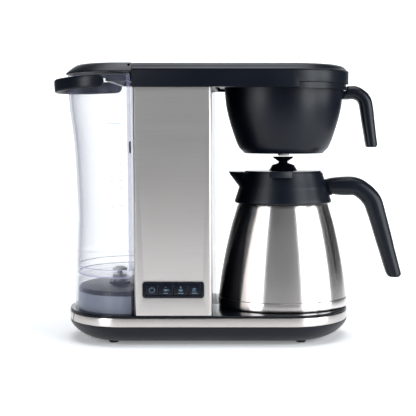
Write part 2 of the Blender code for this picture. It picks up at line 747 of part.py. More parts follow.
def lid_plan(inset, seam_inset):
    reach, half = LID_REACH - inset, LID_HALF - inset
    right = LID_SEAM - seam_inset
    return [(right, -half), (right, half)] + end_arc(-TANK_END, reach, half, -1)


def tank_lid():
    """A shallow shell with sloping edges. It turns up about a pin along its right edge."""
    x, z = LID_HINGE
    outside = [level(lid_plan(i, s), h) for h, i, s in (
        (LID_LOW, 0.4, 0), (LID_LOW + 0.7, 0, 0), (LID_LOW + 1.6, 0.6, 0), (298.2, 4.2, 0),
        (301.0, 8.0, 0), (302.5, 10.4, 0.1), (303.6, 13.0, 0.9), (LID_HIGH, 16.0, 1.8))]
    inside = [level(lid_plan(i + 2.4, 2.4), h) for h, i in (
        (300.4, 11.4), (298.4, 8.6), (296.2, 4.6), (LID_LOW, 0.6))]
    lid = finish("tank_lid", loft(inside + outside), BLACK, (x, 0, z))
    join(lid, rod((x, -58, z - 0.4), (x, 58, z - 0.4), 2.6))
    for side in (-1, 1):
        cut(lid, block(x - 8, x + 20, side * 40 - 5, side * 40 + 5, 280, 310))
    cut(lid, rod((x, -100, z), (x, 100, z), HINGE_PIN + RUN, 32))
    return lid


def lid_bracket():
    """The black frame across the tank's mouth. Its two ears hold the lid's pin."""
    x, z = LID_HINGE
    inner = TANK_RIGHT - TANK_WALL - GAP
    _, half = tank_section(285)
    frame = finish("lid_bracket", block(-106, inner, -half + 6.6, half - 6.6,
                                        277.5, 290.5), BLACK)
    cut(frame, block(-101, inner - 3.5, -72, 72, 270, 300))
    for side in (-1, 1):
        y0, y1 = side * 40 - 4.6, side * 40 + 4.6
        ear = ((inner - 4.5, 284.0), (inner, 284.0), (inner, TANK_RIM - 1.6), (inner + 1.4, 298.6),
               (x + 2.4, z + 1.4), (x + 1.2, z + 2.4), (x - 1.2, z + 2.4), (x - 2.6, z + 1.2),
               (x - 2.8, 292.0))
        join(frame, plate(ear, min(y0, y1), max(y0, y1)))
    cut(frame, rod((x, -90, z), (x, 90, z), HINGE_PIN + 0.02, 32))
    return frame


def lid_pin():
    x, z = LID_HINGE
    return finish("lid_pin", rod((x, -46, z), (x, 46, z), HINGE_PIN, 32), BRIGHT)


def tank_bail():
    """The strap that goes round the tank's end and turns up on two pivots to carry the tank."""
    px, pz = BAIL_PIVOT
    half = BAIL_HEIGHT / 2
    outer_y, thick = BAIL_OUTER, BAIL_THICK
    reach = BAIL_REACH
    plan_out = [(half, -outer_y), (0, -outer_y)]
    plan_in = [(half, -outer_y + thick), (0, -outer_y + thick)]
    steps = 16
    for i in range(1, steps):
        a = math.pi * i / steps
        plan_out.append((-reach * math.sin(a), -outer_y * math.cos(a)))
        plan_in.append((-(reach - thick) * math.sin(a), -(outer_y - thick) * math.cos(a)))
    plan_out += [(0, outer_y), (half, outer_y)]
    plan_in += [(0, outer_y - thick), (half, outer_y - thick)]
    soft = 0.7
    rings = []
    for (xo, yo), (xi, yi) in zip(plan_out, plan_in):
        outward = Vector((xo - xi, yo - yi, 0)).normalized() * soft
        h = half
        ring = []
        for base, shift, z in (((xi, yi), 0, -h + soft), ((xi, yi), 1, -h), ((xo, yo), -1, -h),
                               ((xo, yo), 0, -h + soft), ((xo, yo), 0, h - soft), ((xo, yo), -1, h),
                               ((xi, yi), 1, h), ((xi, yi), 0, h - soft)):
            point = Vector((base[0], base[1], 0)) + outward * shift
            ring.append(Vector((point.x, point.y, z)))
        rings.append(ring)
    bail_mesh = loft(rings)
    droop = Matrix.Rotation(-math.radians(BAIL_DROOP), 4, "Y")
    bmesh.ops.transform(bail_mesh, matrix=Matrix.Translation((px, 0, pz)) @ droop, verts=bail_mesh.verts[:])
    bail = finish("tank_bail", bail_mesh, BLACK, (px, 0, pz))
    for side in (-1, 1):
        y0, y1 = sorted((side * (outer_y + 5), side * (outer_y - thick - 5)))
        arc = [(px + half * math.sin(a), pz + half * math.cos(a))
               for a in (math.pi * i / 16 for i in range(17))]
        outline = arc + [(px, pz - 20), (px + 20, pz - 20), (px + 20, pz + 20), (px, pz + 20)]
        cut(bail, plate(outline, y0, y1))
        cut(bail, rod((px, y0, pz), (px, y1, pz), PIVOT_RADIUS + RUN, 32))
    return bail


def check_valve():
    z = BASE_HOSE_Z
    body = finish("check_valve", rod((-78, 0, z), (-62, 0, z), 6.2), WHITE)
    join(body, rod((-84, 0, z), (-56, 0, z), HOSE_INNER - 0.25))
    cut(body, rod((-90, 0, z), (-50, 0, z), 1.8))
    return body


def cold_hoses():
    """From the dock's spigot through the check valve to the boiler's lower end."""
    z = BASE_HOSE_Z
    first = bent_path(((OUTLET_X, 0, z + 11.5), (OUTLET_X, 0, z), (-78 - GAP, 0, z)), (9.5,))
    finish("cold_hose_inlet", hose(first, HOSE_OUTER, HOSE_INNER), SILICONE)
    second = bent_path(((-62 + GAP, 0, z), (BOILER_X - BOILER_Y, 0, z), (BOILER_X, BOILER_Y, z),
                        (BOILER_X, BOILER_Y, BOILER_LOW - 10)), (7, 8.5))
    finish("cold_hose_boiler", hose(second, HOSE_OUTER, HOSE_INNER), SILICONE)


def riser_hose():
    """From the boiler's upper end through the arm to the shower head."""
    x, y, z = BOILER_X, BOILER_Y, RISER_Z
    path = bent_path(((x, y, BOILER_HIGH + 9.4), (x, y, z), (x + 40, 0, z), (BASKET_X, 0, z),
                      (BASKET_X, 0, 288.6)), (9, 9, 3.6))
    return finish("riser_hose", hose(path, RISER_OUTER, RISER_INNER), SILICONE)


def arm_housing():
    """The arm's lower half: a tray over the tower, and two side walls that guide the basket."""
    arm = finish("arm_housing", prism(arm_plan(0, ARM_LEFT), ARM_LOW, ARM_SPLIT - 0.1), BLACK)
    inner = BASE_WIDTH / 2 - ARM_WALL
    upper = ARM_STEP + ARM_FLOOR
    bay = FLANGE_LEFT - 3
    cut(arm, prism(arm_plan(ARM_WALL, ARM_LEFT + ARM_WALL), upper, ARM_TOP))
    cut(arm, block(ARM_LEFT + ARM_WALL, bay - ARM_WALL, -inner, inner, ARM_LOW + ARM_FLOOR, upper + 2))
    past, side = BASE_LENGTH, BASE_WIDTH
    groove = FLANGE_WIDTH / 2 + SLIDE
    ledge = FLANGE_WIDTH / 2 - RAIL_HOLD
    cut(arm, block(bay, past, -groove, groove, ARM_LOW + RAIL_LEDGE, ARM_STEP))
    cut(arm, block(bay, past, -ledge, ledge, 270, ARM_LOW + RAIL_LEDGE + 1))
    cut(arm, block(RAIL_END, past, -side, side, 270, ARM_STEP))
    cut(arm, lathe(((0, 270), (SHOWER_RADIUS + GAP, 270), (SHOWER_RADIUS + GAP, 290), (0, 290)),
                   (BASKET_X, 0)))
    cut(arm, lathe(((7, 270), (7, 285)), (BOILER_X, BOILER_Y), SMALL))
    for x in (20, 125):
        for y in (-50, 50):
            post = ((0, upper - 1), (4, upper - 1), (4, ARM_SPLIT - 0.6), (0, ARM_SPLIT - 0.6))
            join(arm, lathe(post, (x, y), 16))
    return arm


def arm_cover():
    """A thin lid with sloping edges over the whole arm."""
    low = ARM_SPLIT + 0.2
    outside = [level(arm_plan(i, ARM_LEFT), z) for z, i in (
        (low, 0.4), (low + 0.6, 0), (low + 1.4, 0.5), (298.2, 2.4), (300.6, 4.6), (302.2, 7.0),
        (ARM_TOP, 10.0))]
    inside = [level(arm_plan(i, ARM_LEFT + COVER_WALL), z) for z, i in (
        (ARM_TOP - COVER_WALL, 9.0), (299.0, 5.4), (296.8, 3.0), (low, 2.2))]
    return finish("arm_cover", loft(inside + outside), BLACK)


def shower_head():
    """A hollow rose in the arm's floor. The riser's end fits over its nozzle."""
    x = BASKET_X
    seat = ARM_STEP + ARM_FLOOR + GAP
    head = finish("shower_head", lathe((
        (SHOWER_RADIUS, 284.2), (SHOWER_RADIUS, seat), (33.0, seat), (33.0, 288.2), (2.2, 288.2),
        (2.2, 289.4),
    ), (x, 0)), BRIGHT)
    cut(head, lathe(((26.0, 285.3), (26.0, 287.2), (1.6, 287.2), (1.6, 295.0)), (x, 0), SMALL))
    holes = [(r * math.cos(math.tau * k / n), r * math.sin(math.tau * k / n))
             for r, n in ((9, 4), (18, 8)) for k in range(n)]
    for dx, dy in holes:
        cut(head, lathe(((1.1, 280), (1.1, 286.3)), (x + dx, dy), 6))
    return head


def basket_rim_plan(inset):
    """The basket's own front edge: the base's right end, from the seam onwards."""
    centre = BASE_LENGTH / 2 - END_REACH
    left = RAIL_END + GAP
    arc = end_arc(centre, END_REACH - inset, BASE_WIDTH / 2 - inset, 1, 16)
    kept = [p for p in arc if p[0] > left + 0.5]
    into_end = max(0.0, left - centre) / (END_REACH - inset)
    y = (BASE_WIDTH / 2 - inset) * math.sqrt(1 - into_end**2)
    return [(left, -y)] + kept + [(left, y)]


def brew_basket():
    """A bowl that hangs from a flange. The flange runs in the arm's side walls."""
    x = BASKET_X
    low = FLANGE_TOP - FLANGE
    solid = ((0, BASKET_OUTSIDE[0][1]),) + BASKET_OUTSIDE + ((66.5, low + 1.0), (0, low + 1.0))
    basket = finish("brew_basket", lathe(solid, (x, 0)), BLACK, (x, 0, FLANGE_TOP))
    half = FLANGE_WIDTH / 2
    rim = basket_rim_plan(FASCIA_INSET + 0.06)
    seam = rim[0][0]
    join(basket, prism([(FLANGE_LEFT, half), (FLANGE_LEFT, -half), (seam, -half)] + rim
                       + [(seam, half)], low, FLANGE_TOP))
    fascia = basket_rim_plan(FASCIA_INSET) + basket_rim_plan(FASCIA_INSET + 2.4)[::-1]
    join(basket, prism(fascia, FASCIA_LOW, FLANGE_TOP - 0.1))
    half = BASKET_HANDLE_WIDTH / 2
    join(basket, block(x + 55.2, HANDLE_ROOT - GAP, -half, half, HANDLE_ROOT_Z - 5, HANDLE_ROOT_Z + 5.9))
    wall = [(r - BASKET_WALL, z) for r, z in BASKET_OUTSIDE[2:-1]]
    bowl = [(0, 211.8), (9.0, 211.8), (20.0, 212.2), (45.6, 213.8)] + wall
    bowl += [(64.4, 278.0), (64.4, 300.0), (0, 300.0)]
    cut(basket, lathe(bowl, (x, 0)))
    for y in (-HANDLE_SCREW_Y, HANDLE_SCREW_Y):
        cut(basket, rod((x + 55.2, y, HANDLE_ROOT_Z), (HANDLE_ROOT + 8.5, y, HANDLE_ROOT_Z),
                        SCREW_RADIUS, 12))
    cut(basket, lathe(((0, 200), (DRAIN_RECESS, 200), (DRAIN_RECESS, DRAIN_ROOF), (DRAIN_RADIUS, DRAIN_ROOF),
                       (DRAIN_RADIUS, 220), (0, 220)), (x, 0), SMALL))
    return basket


def basket_handle():
    """A drooping grip. Its outline is given from the root, which two screws hold to the boss."""
    outer = ((0.0, 276.5), (3.3, 276.6), (3.7, 280.9), (7.1, 281.7), (12.3, 281.9),
             (16.7, 280.8), (20.6, 279.0), (26.7, 274.5), (30.2, 270.0), (32.2, 265.6),
             (34.0, 256.6), (35.5, 243.2), (37.7, 225.2), (38.9, 216.3), (37.7, 213.4))
    inner = ((0.0, 266.6), (2.3, 266.5), (3.9, 266.5), (6.5, 266.7), (9.1, 266.9),
             (11.3, 266.8), (13.9, 265.8), (16.1, 264.2), (17.3, 261.9), (18.1, 259.0),
             (19.3, 252.2), (20.7, 243.0), (23.3, 228.4), (25.1, 217.6), (26.4, 213.2))
    edges = [[(HANDLE_ROOT + x, z) for x, z in edge] for edge in (outer, inner)]
    handle = finish("basket_handle", loft(grip(*edges, BASKET_HANDLE_WIDTH)), BLACK)
    for y in (-HANDLE_SCREW_Y, HANDLE_SCREW_Y):
        cut(handle, rod((HANDLE_ROOT - 11.5, y, HANDLE_ROOT_Z), (HANDLE_ROOT + 6.9, y, HANDLE_ROOT_Z),
                        SCREW_RADIUS - 0.1, 12))
    return handle


def handle_screws():
    """Two screws from inside the bowl. The same holes are cut through the bowl's wall."""
    x, z = BASKET_X + 60.6, HANDLE_ROOT_Z
    for name, y in (("front", -HANDLE_SCREW_Y), ("back", HANDLE_SCREW_Y)):
        screw = finish(f"handle_screw_{name}", rod((x, y, z), (x + 1.5, y, z), 2.6, 12), BRIGHT)
        join(screw, rod((x + 0.8, y, z), (HANDLE_ROOT + 6.1, y, z), SCREW_RADIUS - 0.3, 12))


def drip_valve():
    x = BASKET_X
    return finish("drip_valve", lathe((
        (0, VALVE_TIP), (VALVE_BUTTON - 1, VALVE_TIP), (VALVE_BUTTON, VALVE_TIP + 0.8),
        (VALVE_BUTTON, 205.8), (2.8, 205.8), (2.8, 212.6), (7.4, 212.6), (7.4, 214.4), (3.4, 216.6),
        (0, 216.6),
    ), (x, 0), SMALL), WHITE, (x, 0, VALVE_TIP))


def drip_spring():
    return finish("drip_spring", coil((BASKET_X, 0), 206.0, DRAIN_ROOF - 0.2, 5.0, 0.4, 2), BRIGHT)


def carafe_foot():
    r, high = CARAFE_FOOT
    low = DECK_TOP + GAP
    return finish("carafe_foot", lathe((
        (0, low + 2.0), (r - 7, low + 2.0), (r - 6, low), (r - 1.2, low), (r - 0.2, low + 1.0),
        (r, low + 2.4),
        (r, high - 0.6), (r - 0.6, high), (r - 3.2, high), (r - 3.2, low + 4.0), (0, low + 4.0),
    ), (CARAFE_X, 0)), BRUSHED, (CARAFE_X, 0, low))


def carafe_shell():
    """The outer steel wall, rolled in under the collar to meet the inner vessel's neck."""
    outer = list(CARAFE_OUTSIDE)
    top = [(48.6, 153.4), (46.6, 160.0), (42.0, 173.4)]
    low = outer[0][1]
    inner = [(r - STEEL, max(z, low + STEEL)) for r, z in (top[::-1] + outer[::-1])]
    bottom = [(SHELL_LIP, low + STEEL), (SHELL_LIP, low)]
    profile = outer + top + inner + bottom
    return finish("carafe_shell", lathe(profile, (CARAFE_X, 0), closed=True), BRUSHED, (CARAFE_X, 0, low))


def carafe_liner():
    """The inner steel vessel that holds the coffee."""
    wall = [(r - STEEL - VACUUM, z) for r, z in CARAFE_OUTSIDE[1::2]]
    outer = [(60.0, 50.0), (66.0, 52.0)] + wall + [(44.2, 153.4), (41.6, 160.0), (MOUTH + 1.0, 173.6),
             (MOUTH + 1.0, MOUTH_TOP)]
    inner = [(MOUTH, MOUTH_TOP), (MOUTH, 173.0), (40.6, 159.6), (43.2, 153.0)]
    inner += [(r - STEEL, z) for r, z in wall[::-1]] + [(65.0, 52.8), (59.6, 50.9)]
    return finish("carafe_liner", lathe(outer + inner, (CARAFE_X, 0), 30), BRIGHT, (CARAFE_X, 0, 50))


def carafe_collar():
    """The black ring round the mouth, drawn out to a pouring beak on the left."""
    def ring(radius, z, shrink):
        grow = max(0.0, (z - BEAK_LOW) / (COLLAR[-1][1] - BEAK_LOW)) * BEAK_REACH
        points = []
        for i in range(ROUND):
            a = math.tau * i / ROUND
            off = abs((math.degrees(a) - 180.0)) / BEAK_HALF_ANGLE
            lift = grow * max(0.0, 1 - off) ** 1.25
            r = radius + lift - shrink
            points.append((CARAFE_X + r * math.cos(a), r * math.sin(a), z + (0.06 * lift if z > 184 else 0)))
        return points
    heights = [p for p in COLLAR[:-1]] + [(49.6, 169.0), (47.2, 176.0), (45.0, 183.0), COLLAR[-1]]
    outside = [ring(r, z, 0) for r, z in heights]
    inside = [ring(r, z, COLLAR_WALL if z > 160 else COLLAR_WALL - 0.6) for r, z in heights[::-1]
              if z > 154]
    under = [ring(52.2, 151.6, 0)]
    rings = outside + [ring(44.4, 185.0, 1.6)] + inside[1:] + under
    collar = finish("carafe_collar", loft(rings, closed=True),
                    BLACK, (CARAFE_X, 0, 150.9))
    boss = ((122.0, 176.4), (132.2, 177.0), (139.3, 159.6), (128.0, 159.0))
    join(collar, plate(boss, -9.0, 9.0))
    cut(collar, lathe(((0, 140), (49.4, 152), (47.2, 161.2), (42.6, 174.4), (42.0, 176.8), (41.6, 200),
                       (0, 200)),
                      (CARAFE_X, 0)))
    return collar


def carafe_handle():
    outer = ((133.0, 177.6), (139.0, 178.9), (150.0, 180.0), (162.4, 180.2), (170.0, 178.4), (176.2, 175.6),
             (185.4, 168.8), (191.8, 162.0), (195.9, 155.2), (198.2, 148.4), (201.9, 134.8), (207.4, 114.2),
             (212.6, 93.6), (218.2, 73.0), (HANDLE_TIP_X, 68.8), (216.6, 66.3))
    inner = ((140.2, 160.0), (144.0, 159.6), (150.0, 159.0), (158.0, 158.8), (163.5, 158.9), (167.0, 157.2),
             (171.5, 153.6), (175.8, 148.4), (177.6, 145.0), (178.8, 141.6), (183.5, 127.9), (189.8, 107.4),
             (194.3, 93.6), (200.5, 74.0), (202.6, 69.0), (204.2, 66.8))
    return finish("carafe_handle", loft(grip(outer, inner, CARAFE_HANDLE_WIDTH)), BLACK, (CARAFE_X, 0, 170))


def carafe_lid():
    """A twist lid with a domed middle and a small funnel that takes the coffee."""
    r = LID_RADIUS - SLIDE
    profile = (
        (LID_PLUG - 2.6, LID_BOTTOM), (LID_PLUG, LID_BOTTOM), (LID_PLUG, 166.0), (LID_PLUG - 1.6, 166.0),
        (LID_PLUG - 1.6, 169.0), (LID_PLUG, 169.0), (LID_PLUG, MOUTH_TOP + GAP), (40.6, MOUTH_TOP + 3.0),
        (40.6, 185.2), (r, 185.4), (r, LID_TOP), (DOME[0], LID_TOP),
        (12.6, 193.4), (5.6, DOME[1]), (5.0, 197.0), (11.0, 201.0), FUNNEL, (FUNNEL[0] - 0.8, FUNNEL[1]),
        (FUNNEL_BORE, 197.2), (FUNNEL_BORE, 170.0), (7.6, 170.0), (7.6, 183.4), (LID_PLUG - 2.6, 183.4),
    )
    lid = finish("carafe_lid", lathe(profile, (CARAFE_X, 0), 30, closed=True), BLACK, (CARAFE_X, 0, LID_TOP))
    half = TAB_WIDTH / 2
    def tab(back, low, high):
        """The thumb tab's outline, from its back edge to the rounded front, between two heights."""
        front = -TAB_RADIUS
        plan = ((-half, back), (-half, front + 1.0), (-half + 1, front), (half - 1, front),
                (half, front + 1.0), (half, back))
        return loft([[(CARAFE_X - 3.2 + x, y, z) for x, y in plan] for z in (low, high)])

    join(lid, tab(-38, LID_TOP - 2.0, LID_TOP + 0.3))
    join(lid, tab(-47.4, TAB_LOW + 1.5, LID_TOP - 1.0))
    return lid


def lid_seal():
    return finish("lid_seal", lathe((
        (LID_PLUG - 1.2, 166.3), (LID_PLUG + 0.8, 166.6), (LID_PLUG + 1.4, 167.5), (LID_PLUG + 0.8, 168.4),
        (LID_PLUG - 1.2, 168.7)), (CARAFE_X, 0), 30, closed=True), SILICONE, (CARAFE_X, 0, 167.5))


def outlet_seal():
    """The soft ring that the tank's neck presses on."""
    low, high = DOCK_TOP + GAP, NECK_LOW - GAP
    return finish("outlet_seal", lathe((
        (6.3, low), (NECK_OUTER + 0.6, low), (NECK_OUTER + 0.6, high - 0.5), (NECK_OUTER, high), (6.8, high)),
        (OUTLET_X, 0), SMALL, closed=True), RUBBER)


clear_scene()
ROOT = frame_root()
for build in (
    base_pan, base_band, base_deck, base_feet, base_screws, cord_gland,
    tower_wrap, tower_rear, tower_chassis, key_bezel, keys, key_pad, control_board,
    boiler, heater_element, thermostat, thermal_fuse, power_board,
    tank_dock, dock_inlet, outlet_seal, check_valve, cold_hoses, riser_hose,
    tank_body, tank_valve, tank_valve_spring, tank_lid, lid_bracket, lid_pin, tank_bail,
    arm_housing, arm_cover, shower_head,
    brew_basket, basket_handle, handle_screws, drip_valve, drip_spring,
    carafe_foot, carafe_shell, carafe_liner, carafe_collar, carafe_handle, carafe_lid, lid_seal,
):
    build()
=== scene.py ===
# %% [markdown]
# # A drip coffee maker on a pale studio floor
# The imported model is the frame: it fixes every size, place and joint. This script only adds what
# the eye wants, such as rounded edges, brushed steel, clear plastic and printed marks. Each visible
# piece is made again with finer curves, in the place of its plain solid, and rides on its body.

# %% Load the frame
import json
import math

import bmesh
import bpy
from mathutils import Matrix, Vector


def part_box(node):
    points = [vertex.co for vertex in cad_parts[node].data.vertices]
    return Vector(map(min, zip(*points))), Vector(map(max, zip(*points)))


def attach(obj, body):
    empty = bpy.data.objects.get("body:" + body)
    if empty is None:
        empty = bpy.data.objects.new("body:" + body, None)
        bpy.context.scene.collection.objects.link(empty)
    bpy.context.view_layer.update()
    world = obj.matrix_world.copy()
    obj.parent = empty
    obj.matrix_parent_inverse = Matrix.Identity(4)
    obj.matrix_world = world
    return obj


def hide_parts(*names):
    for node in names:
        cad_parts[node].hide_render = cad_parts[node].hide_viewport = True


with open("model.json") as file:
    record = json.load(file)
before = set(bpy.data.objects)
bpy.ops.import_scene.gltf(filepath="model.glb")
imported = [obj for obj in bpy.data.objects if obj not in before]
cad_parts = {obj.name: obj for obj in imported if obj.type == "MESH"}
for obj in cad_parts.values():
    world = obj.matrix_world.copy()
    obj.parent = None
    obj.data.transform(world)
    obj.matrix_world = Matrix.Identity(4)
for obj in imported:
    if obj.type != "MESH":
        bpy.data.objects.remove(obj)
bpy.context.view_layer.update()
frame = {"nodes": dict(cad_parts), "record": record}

# %% [markdown]
# ## Drawing coordinates
# The maker's drawing is in millimetres, with X = 0 at the middle of the base. The frame puts its
# origin under the middle of the whole box instead, so one shift and one scale turn a drawing point
# into a scene point. The shift is read from the base pan, so it can't drift from the frame.

# %% From the drawing to the scene
pan_low, pan_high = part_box("base_pan")
BASE_MIDDLE = (pan_low.x + pan_high.x) / 2
MM = 0.001


def at(x, y, z):
    return Vector((x * MM + BASE_MIDDLE, y * MM, z * MM))


def linked(name, data):
    """A new object in the scene that shows the data."""
    made = bpy.data.objects.new(name, data)
    bpy.context.scene.collection.objects.link(made)
    return made


print(f"base middle is {BASE_MIDDLE * 1000:.2f} mm from the origin")

# %% [markdown]
# ## Camera
# A long lens held a little above the deck, tipped slightly down, gives a calm view with upright
# lines. A small shift slides the picture on the sensor without turning the camera, so the tower's
# edges stay vertical.

# %% Set the camera
LENS, SENSOR = 101.08, 36.0  # both in millimetres
SHIFT = (-0.101, 0.0925)
CAMERA_PLACE, TIPPED_DOWN = (46.9, -1324.0, 230.3), 5.6
camera_data = bpy.data.cameras.new("studio_camera")
camera_data.sensor_width, camera_data.lens, camera_data.clip_end = SENSOR, LENS, 50
camera_data.shift_x, camera_data.shift_y = SHIFT
camera = linked("studio_camera", camera_data)
camera.location = at(*CAMERA_PLACE)
camera.rotation_euler = (math.radians(90 - TIPPED_DOWN), 0, 0)
bpy.context.scene.camera = camera
print("camera at", tuple(round(v, 3) for v in camera.location))

# %% [markdown]
# ## Wiring finishes
# A finish is a small net of nodes, and each node either holds a value or takes one from another.
# One function adds a node and fills its inputs either way, so a finish reads as a list of what feeds
# what. The same function builds the node trees that make rows and rings, further down.

# %% Node helpers
def feed(tree, node, inputs):
    """Gives each input its value, or a link where it is given a socket."""
    for label, value in inputs.items():
        if isinstance(value, bpy.types.NodeSocket):
            tree.links.new(value, node.inputs[label])
        else:
            node.inputs[label].default_value = value


def add(tree, kind, inputs, **settings):
    """A new node of the kind, with its settings and then its inputs."""
    made = tree.nodes.new(kind)
    for name, value in settings.items():
        setattr(made, name, value)
    feed(tree, made, inputs)
    return made


def new_finish(name):
    """A material, its tree, its shader and the Object coordinates that its patterns read."""
    made = bpy.data.materials.new(name)
    made.use_nodes = True
    tree = made.node_tree
    return made, tree, tree.nodes["Principled BSDF"], add(tree, "ShaderNodeTexCoord", {}).outputs["Object"]


def ranged(tree, value, low, high, start=0.3, stop=0.7):
    """The value's run from start to stop, spread from low to high."""
    return add(tree, "ShaderNodeMapRange", {"From Min": start, "From Max": stop, "To Min": low,
                                            "To Max": high, "Value": value}).outputs["Result"]


print("node helpers ready")

# %% [markdown]
# ## Studio
# A product table is one sheet that curves up behind the object, so no line shows where the floor
# ends. Large soft lamps stand above and at both sides. Steel shows the lamps as wide bright bands
# and the gaps between them as dark bands, which is what makes it look like steel.

# %% Build the table and the lamps
TABLE_HALF, TABLE_FRONT, TABLE_BEND, TABLE_HIGH = 0.78, -0.52, 0.9, 3.2
BEND_RADIUS = 0.8
AIR, LAMP_TINT = (0.90, 0.95, 1.0, 1), (0.92, 0.96, 1.0)
LAMPS = (  # name, place, what it looks at, width, height, watts
    ("lamp_above", (0.05, 0.05, 1.6), (0, 0, 0.1), 1.7, 1.2, 24),
    ("strip_left", (-1.13, -1.02, 0.45), (0, 0, 0.15), 0.64, 1.5, 17),
    ("strip_right", (1.25, -1.08, 0.45), (0, 0, 0.15), 0.78, 1.5, 26),
    ("side_card", (1.50, -0.28, 0.42), (0.1, 0, 0.2), 0.60, 0.8, 9),
    ("front_card", (0.0, -2.9, 0.75), (0, 0, 0.2), 3.0, 1.7, 3),
)


def sweep_floor():
    bm = bmesh.new()
    profile = [(TABLE_FRONT, 0.0), (0.0, 0.0), (TABLE_BEND, 0.0)]
    for i in range(13):
        a = math.pi / 2 * i / 12
        profile.append((TABLE_BEND + BEND_RADIUS * math.sin(a), BEND_RADIUS - BEND_RADIUS * math.cos(a)))
    profile.append((TABLE_BEND + BEND_RADIUS, TABLE_HIGH))
    rows = [[bm.verts.new((x, y, z)) for y, z in profile] for x in (-TABLE_HALF, TABLE_HALF)]
    for a, b, c, d in zip(rows[0], rows[0][1:], rows[1][1:], rows[1]):
        bm.faces.new((d, c, b, a))
    bmesh.ops.recalc_face_normals(bm, faces=bm.faces[:])
    mesh = bpy.data.meshes.new("studio_table")
    bm.to_mesh(mesh)
    bm.free()
    mesh.shade_smooth()
    table = linked("studio_table", mesh)
    return table


def table_finish():
    """White paper with a faint grain. Its emission rises towards the back, a painted light that stands in for
    the lamps lighting the sweep.
    """
    paper, tree, shader, place = new_finish("table_paper")
    grain = add(tree, "ShaderNodeTexNoise", {"Scale": 14.0})
    axes = add(tree, "ShaderNodeSeparateXYZ", {"Vector": place})
    # Painted light: the table's emission rises from front to back, in place of lamp light on the sweep.
    painted_light_ramp = add(tree, "ShaderNodeMapRange", {"From Min": 0.05, "From Max": 0.9, "To Min": 0.20, "To Max": 0.42,
                                            "Value": axes.outputs["Y"]}, interpolation_type="SMOOTHSTEP")
    feed(tree, shader, {"Base Color": ranged(tree, grain.outputs["Fac"], 0.93, 0.95, 0, 1),
                        "Roughness": 0.75, "Emission Color": (1, 1, 1, 1),
                        "Emission Strength": painted_light_ramp.outputs["Result"]})
    return paper


def soft_lamp(name, place, towards, width, height, power):
    data = bpy.data.lights.new(name, "AREA")
    data.shape, data.color = "RECTANGLE", LAMP_TINT
    data.size, data.size_y, data.energy = width, height, power
    lamp = linked(name, data)
    lamp.location = place
    lamp.rotation_euler = (Vector(towards) - Vector(place)).to_track_quat("-Z", "Y").to_euler()


sweep_floor().data.materials.append(table_finish())
for lamp in LAMPS:
    soft_lamp(*lamp)
world = bpy.data.worlds.new("studio_air")
bpy.context.scene.world = world
world.use_nodes = True
world.node_tree.nodes["Background"].inputs["Color"].default_value = AIR
world.node_tree.nodes["Background"].inputs["Strength"].default_value = 0.07
bpy.context.scene.view_settings.view_transform = "Standard"
print("studio ready, lamps:", len(LAMPS))

# %% [markdown]
# ## Plastic
# Moulded black plastic has a faint blue tint and a satin skin. Under a lens the skin is a fine
# grain of tiny pits, so a small noise drives the bump and a wider one lets the gloss wander, as
# handling does. All patterns read Object coordinates, so they stay on the piece when it moves.

# %% Plastic finishes
PIT_DEPTH = 0.00002


def noise(tree, vector, scale, detail=2.0, stretch=(1, 1, 1)):
    spread = add(tree, "ShaderNodeMapping", {"Scale": stretch, "Vector": vector})
    return add(tree, "ShaderNodeTexNoise", {"Scale": scale, "Detail": detail,
                                            "Vector": spread.outputs["Vector"]}).outputs["Fac"]


def tinted(tree, value, dark, light):
    return add(tree, "ShaderNodeMix", {"A": (*dark, 1), "B": (*light, 1), "Factor": value},
               data_type="RGBA").outputs["Result"]


def bumped(tree, value, distance, strength):
    return add(tree, "ShaderNodeBump", {"Distance": distance, "Strength": strength,
                                        "Height": value}).outputs["Normal"]


def moulded_plastic(name, dark, light, gloss, grain=1.0, scale=1400.0, sheen=0.5):
    """Satin plastic. gloss is its lowest and highest roughness, sheen how much it reflects."""
    made, tree, shader, place = new_finish(name)
    wander = noise(tree, place, 28.0, 3.0)
    pits = noise(tree, place, scale, 1.0)
    feed(tree, shader, {"Base Color": tinted(tree, wander, dark, light),
                        "Roughness": ranged(tree, wander, *gloss),
                        "Normal": bumped(tree, pits, PIT_DEPTH * grain, 0.5),
                        "Specular IOR Level": sheen})
    return made


DECK_TONES = (0.0016, 0.0024, 0.0046), (0.0022, 0.0032, 0.0056)
SATIN_BLACK = moulded_plastic("satin_black_plastic", (0.0005, 0.0019, 0.0058), (0.0010, 0.0027, 0.0070),
                              (0.33, 0.40), sheen=0.28)
DECK_BLACK = moulded_plastic("deck_gloss_black", *DECK_TONES, (0.12, 0.18), 0.3, sheen=0.18)
KEY_BLACK = moulded_plastic("key_black", (0.0035, 0.0050, 0.0095), (0.0045, 0.0062, 0.0115),
                            (0.24, 0.32), 0.6, sheen=0.2)
SIDE_BLACK = moulded_plastic("side_gloss_black", *DECK_TONES, (0.10, 0.16), 0.3)
CHASSIS_GREY = moulded_plastic("chassis_grey", (0.055, 0.06, 0.068), (0.075, 0.08, 0.09), (0.45, 0.6))
DOCK_GREY = moulded_plastic("dock_grey", (0.15, 0.165, 0.21), (0.18, 0.195, 0.24), (0.42, 0.52))
VALVE_WHITE = moulded_plastic("valve_white", (0.72, 0.71, 0.68), (0.84, 0.83, 0.80), (0.35, 0.5))
FOOT_RUBBER = moulded_plastic("foot_rubber", (0.012, 0.012, 0.013), (0.022, 0.022, 0.023), (0.7, 0.9),
                              3.0, 900.0)
SILICONE = moulded_plastic("silicone", (0.62, 0.60, 0.56), (0.72, 0.70, 0.66), (0.45, 0.6))
print("plastics made")

# %% [markdown]
# ## Steel
# Sheet steel is brushed along one direction. The scratches are very long and very thin, so one
# noise is stretched along the brushing and squeezed across it. It drives a faint bump, the
# roughness and the colour together. The tower is brushed from side to side, the band along its
# length and the carafe round its axis.

# %% Steel finishes
SCRATCH_DEPTH = 0.000004


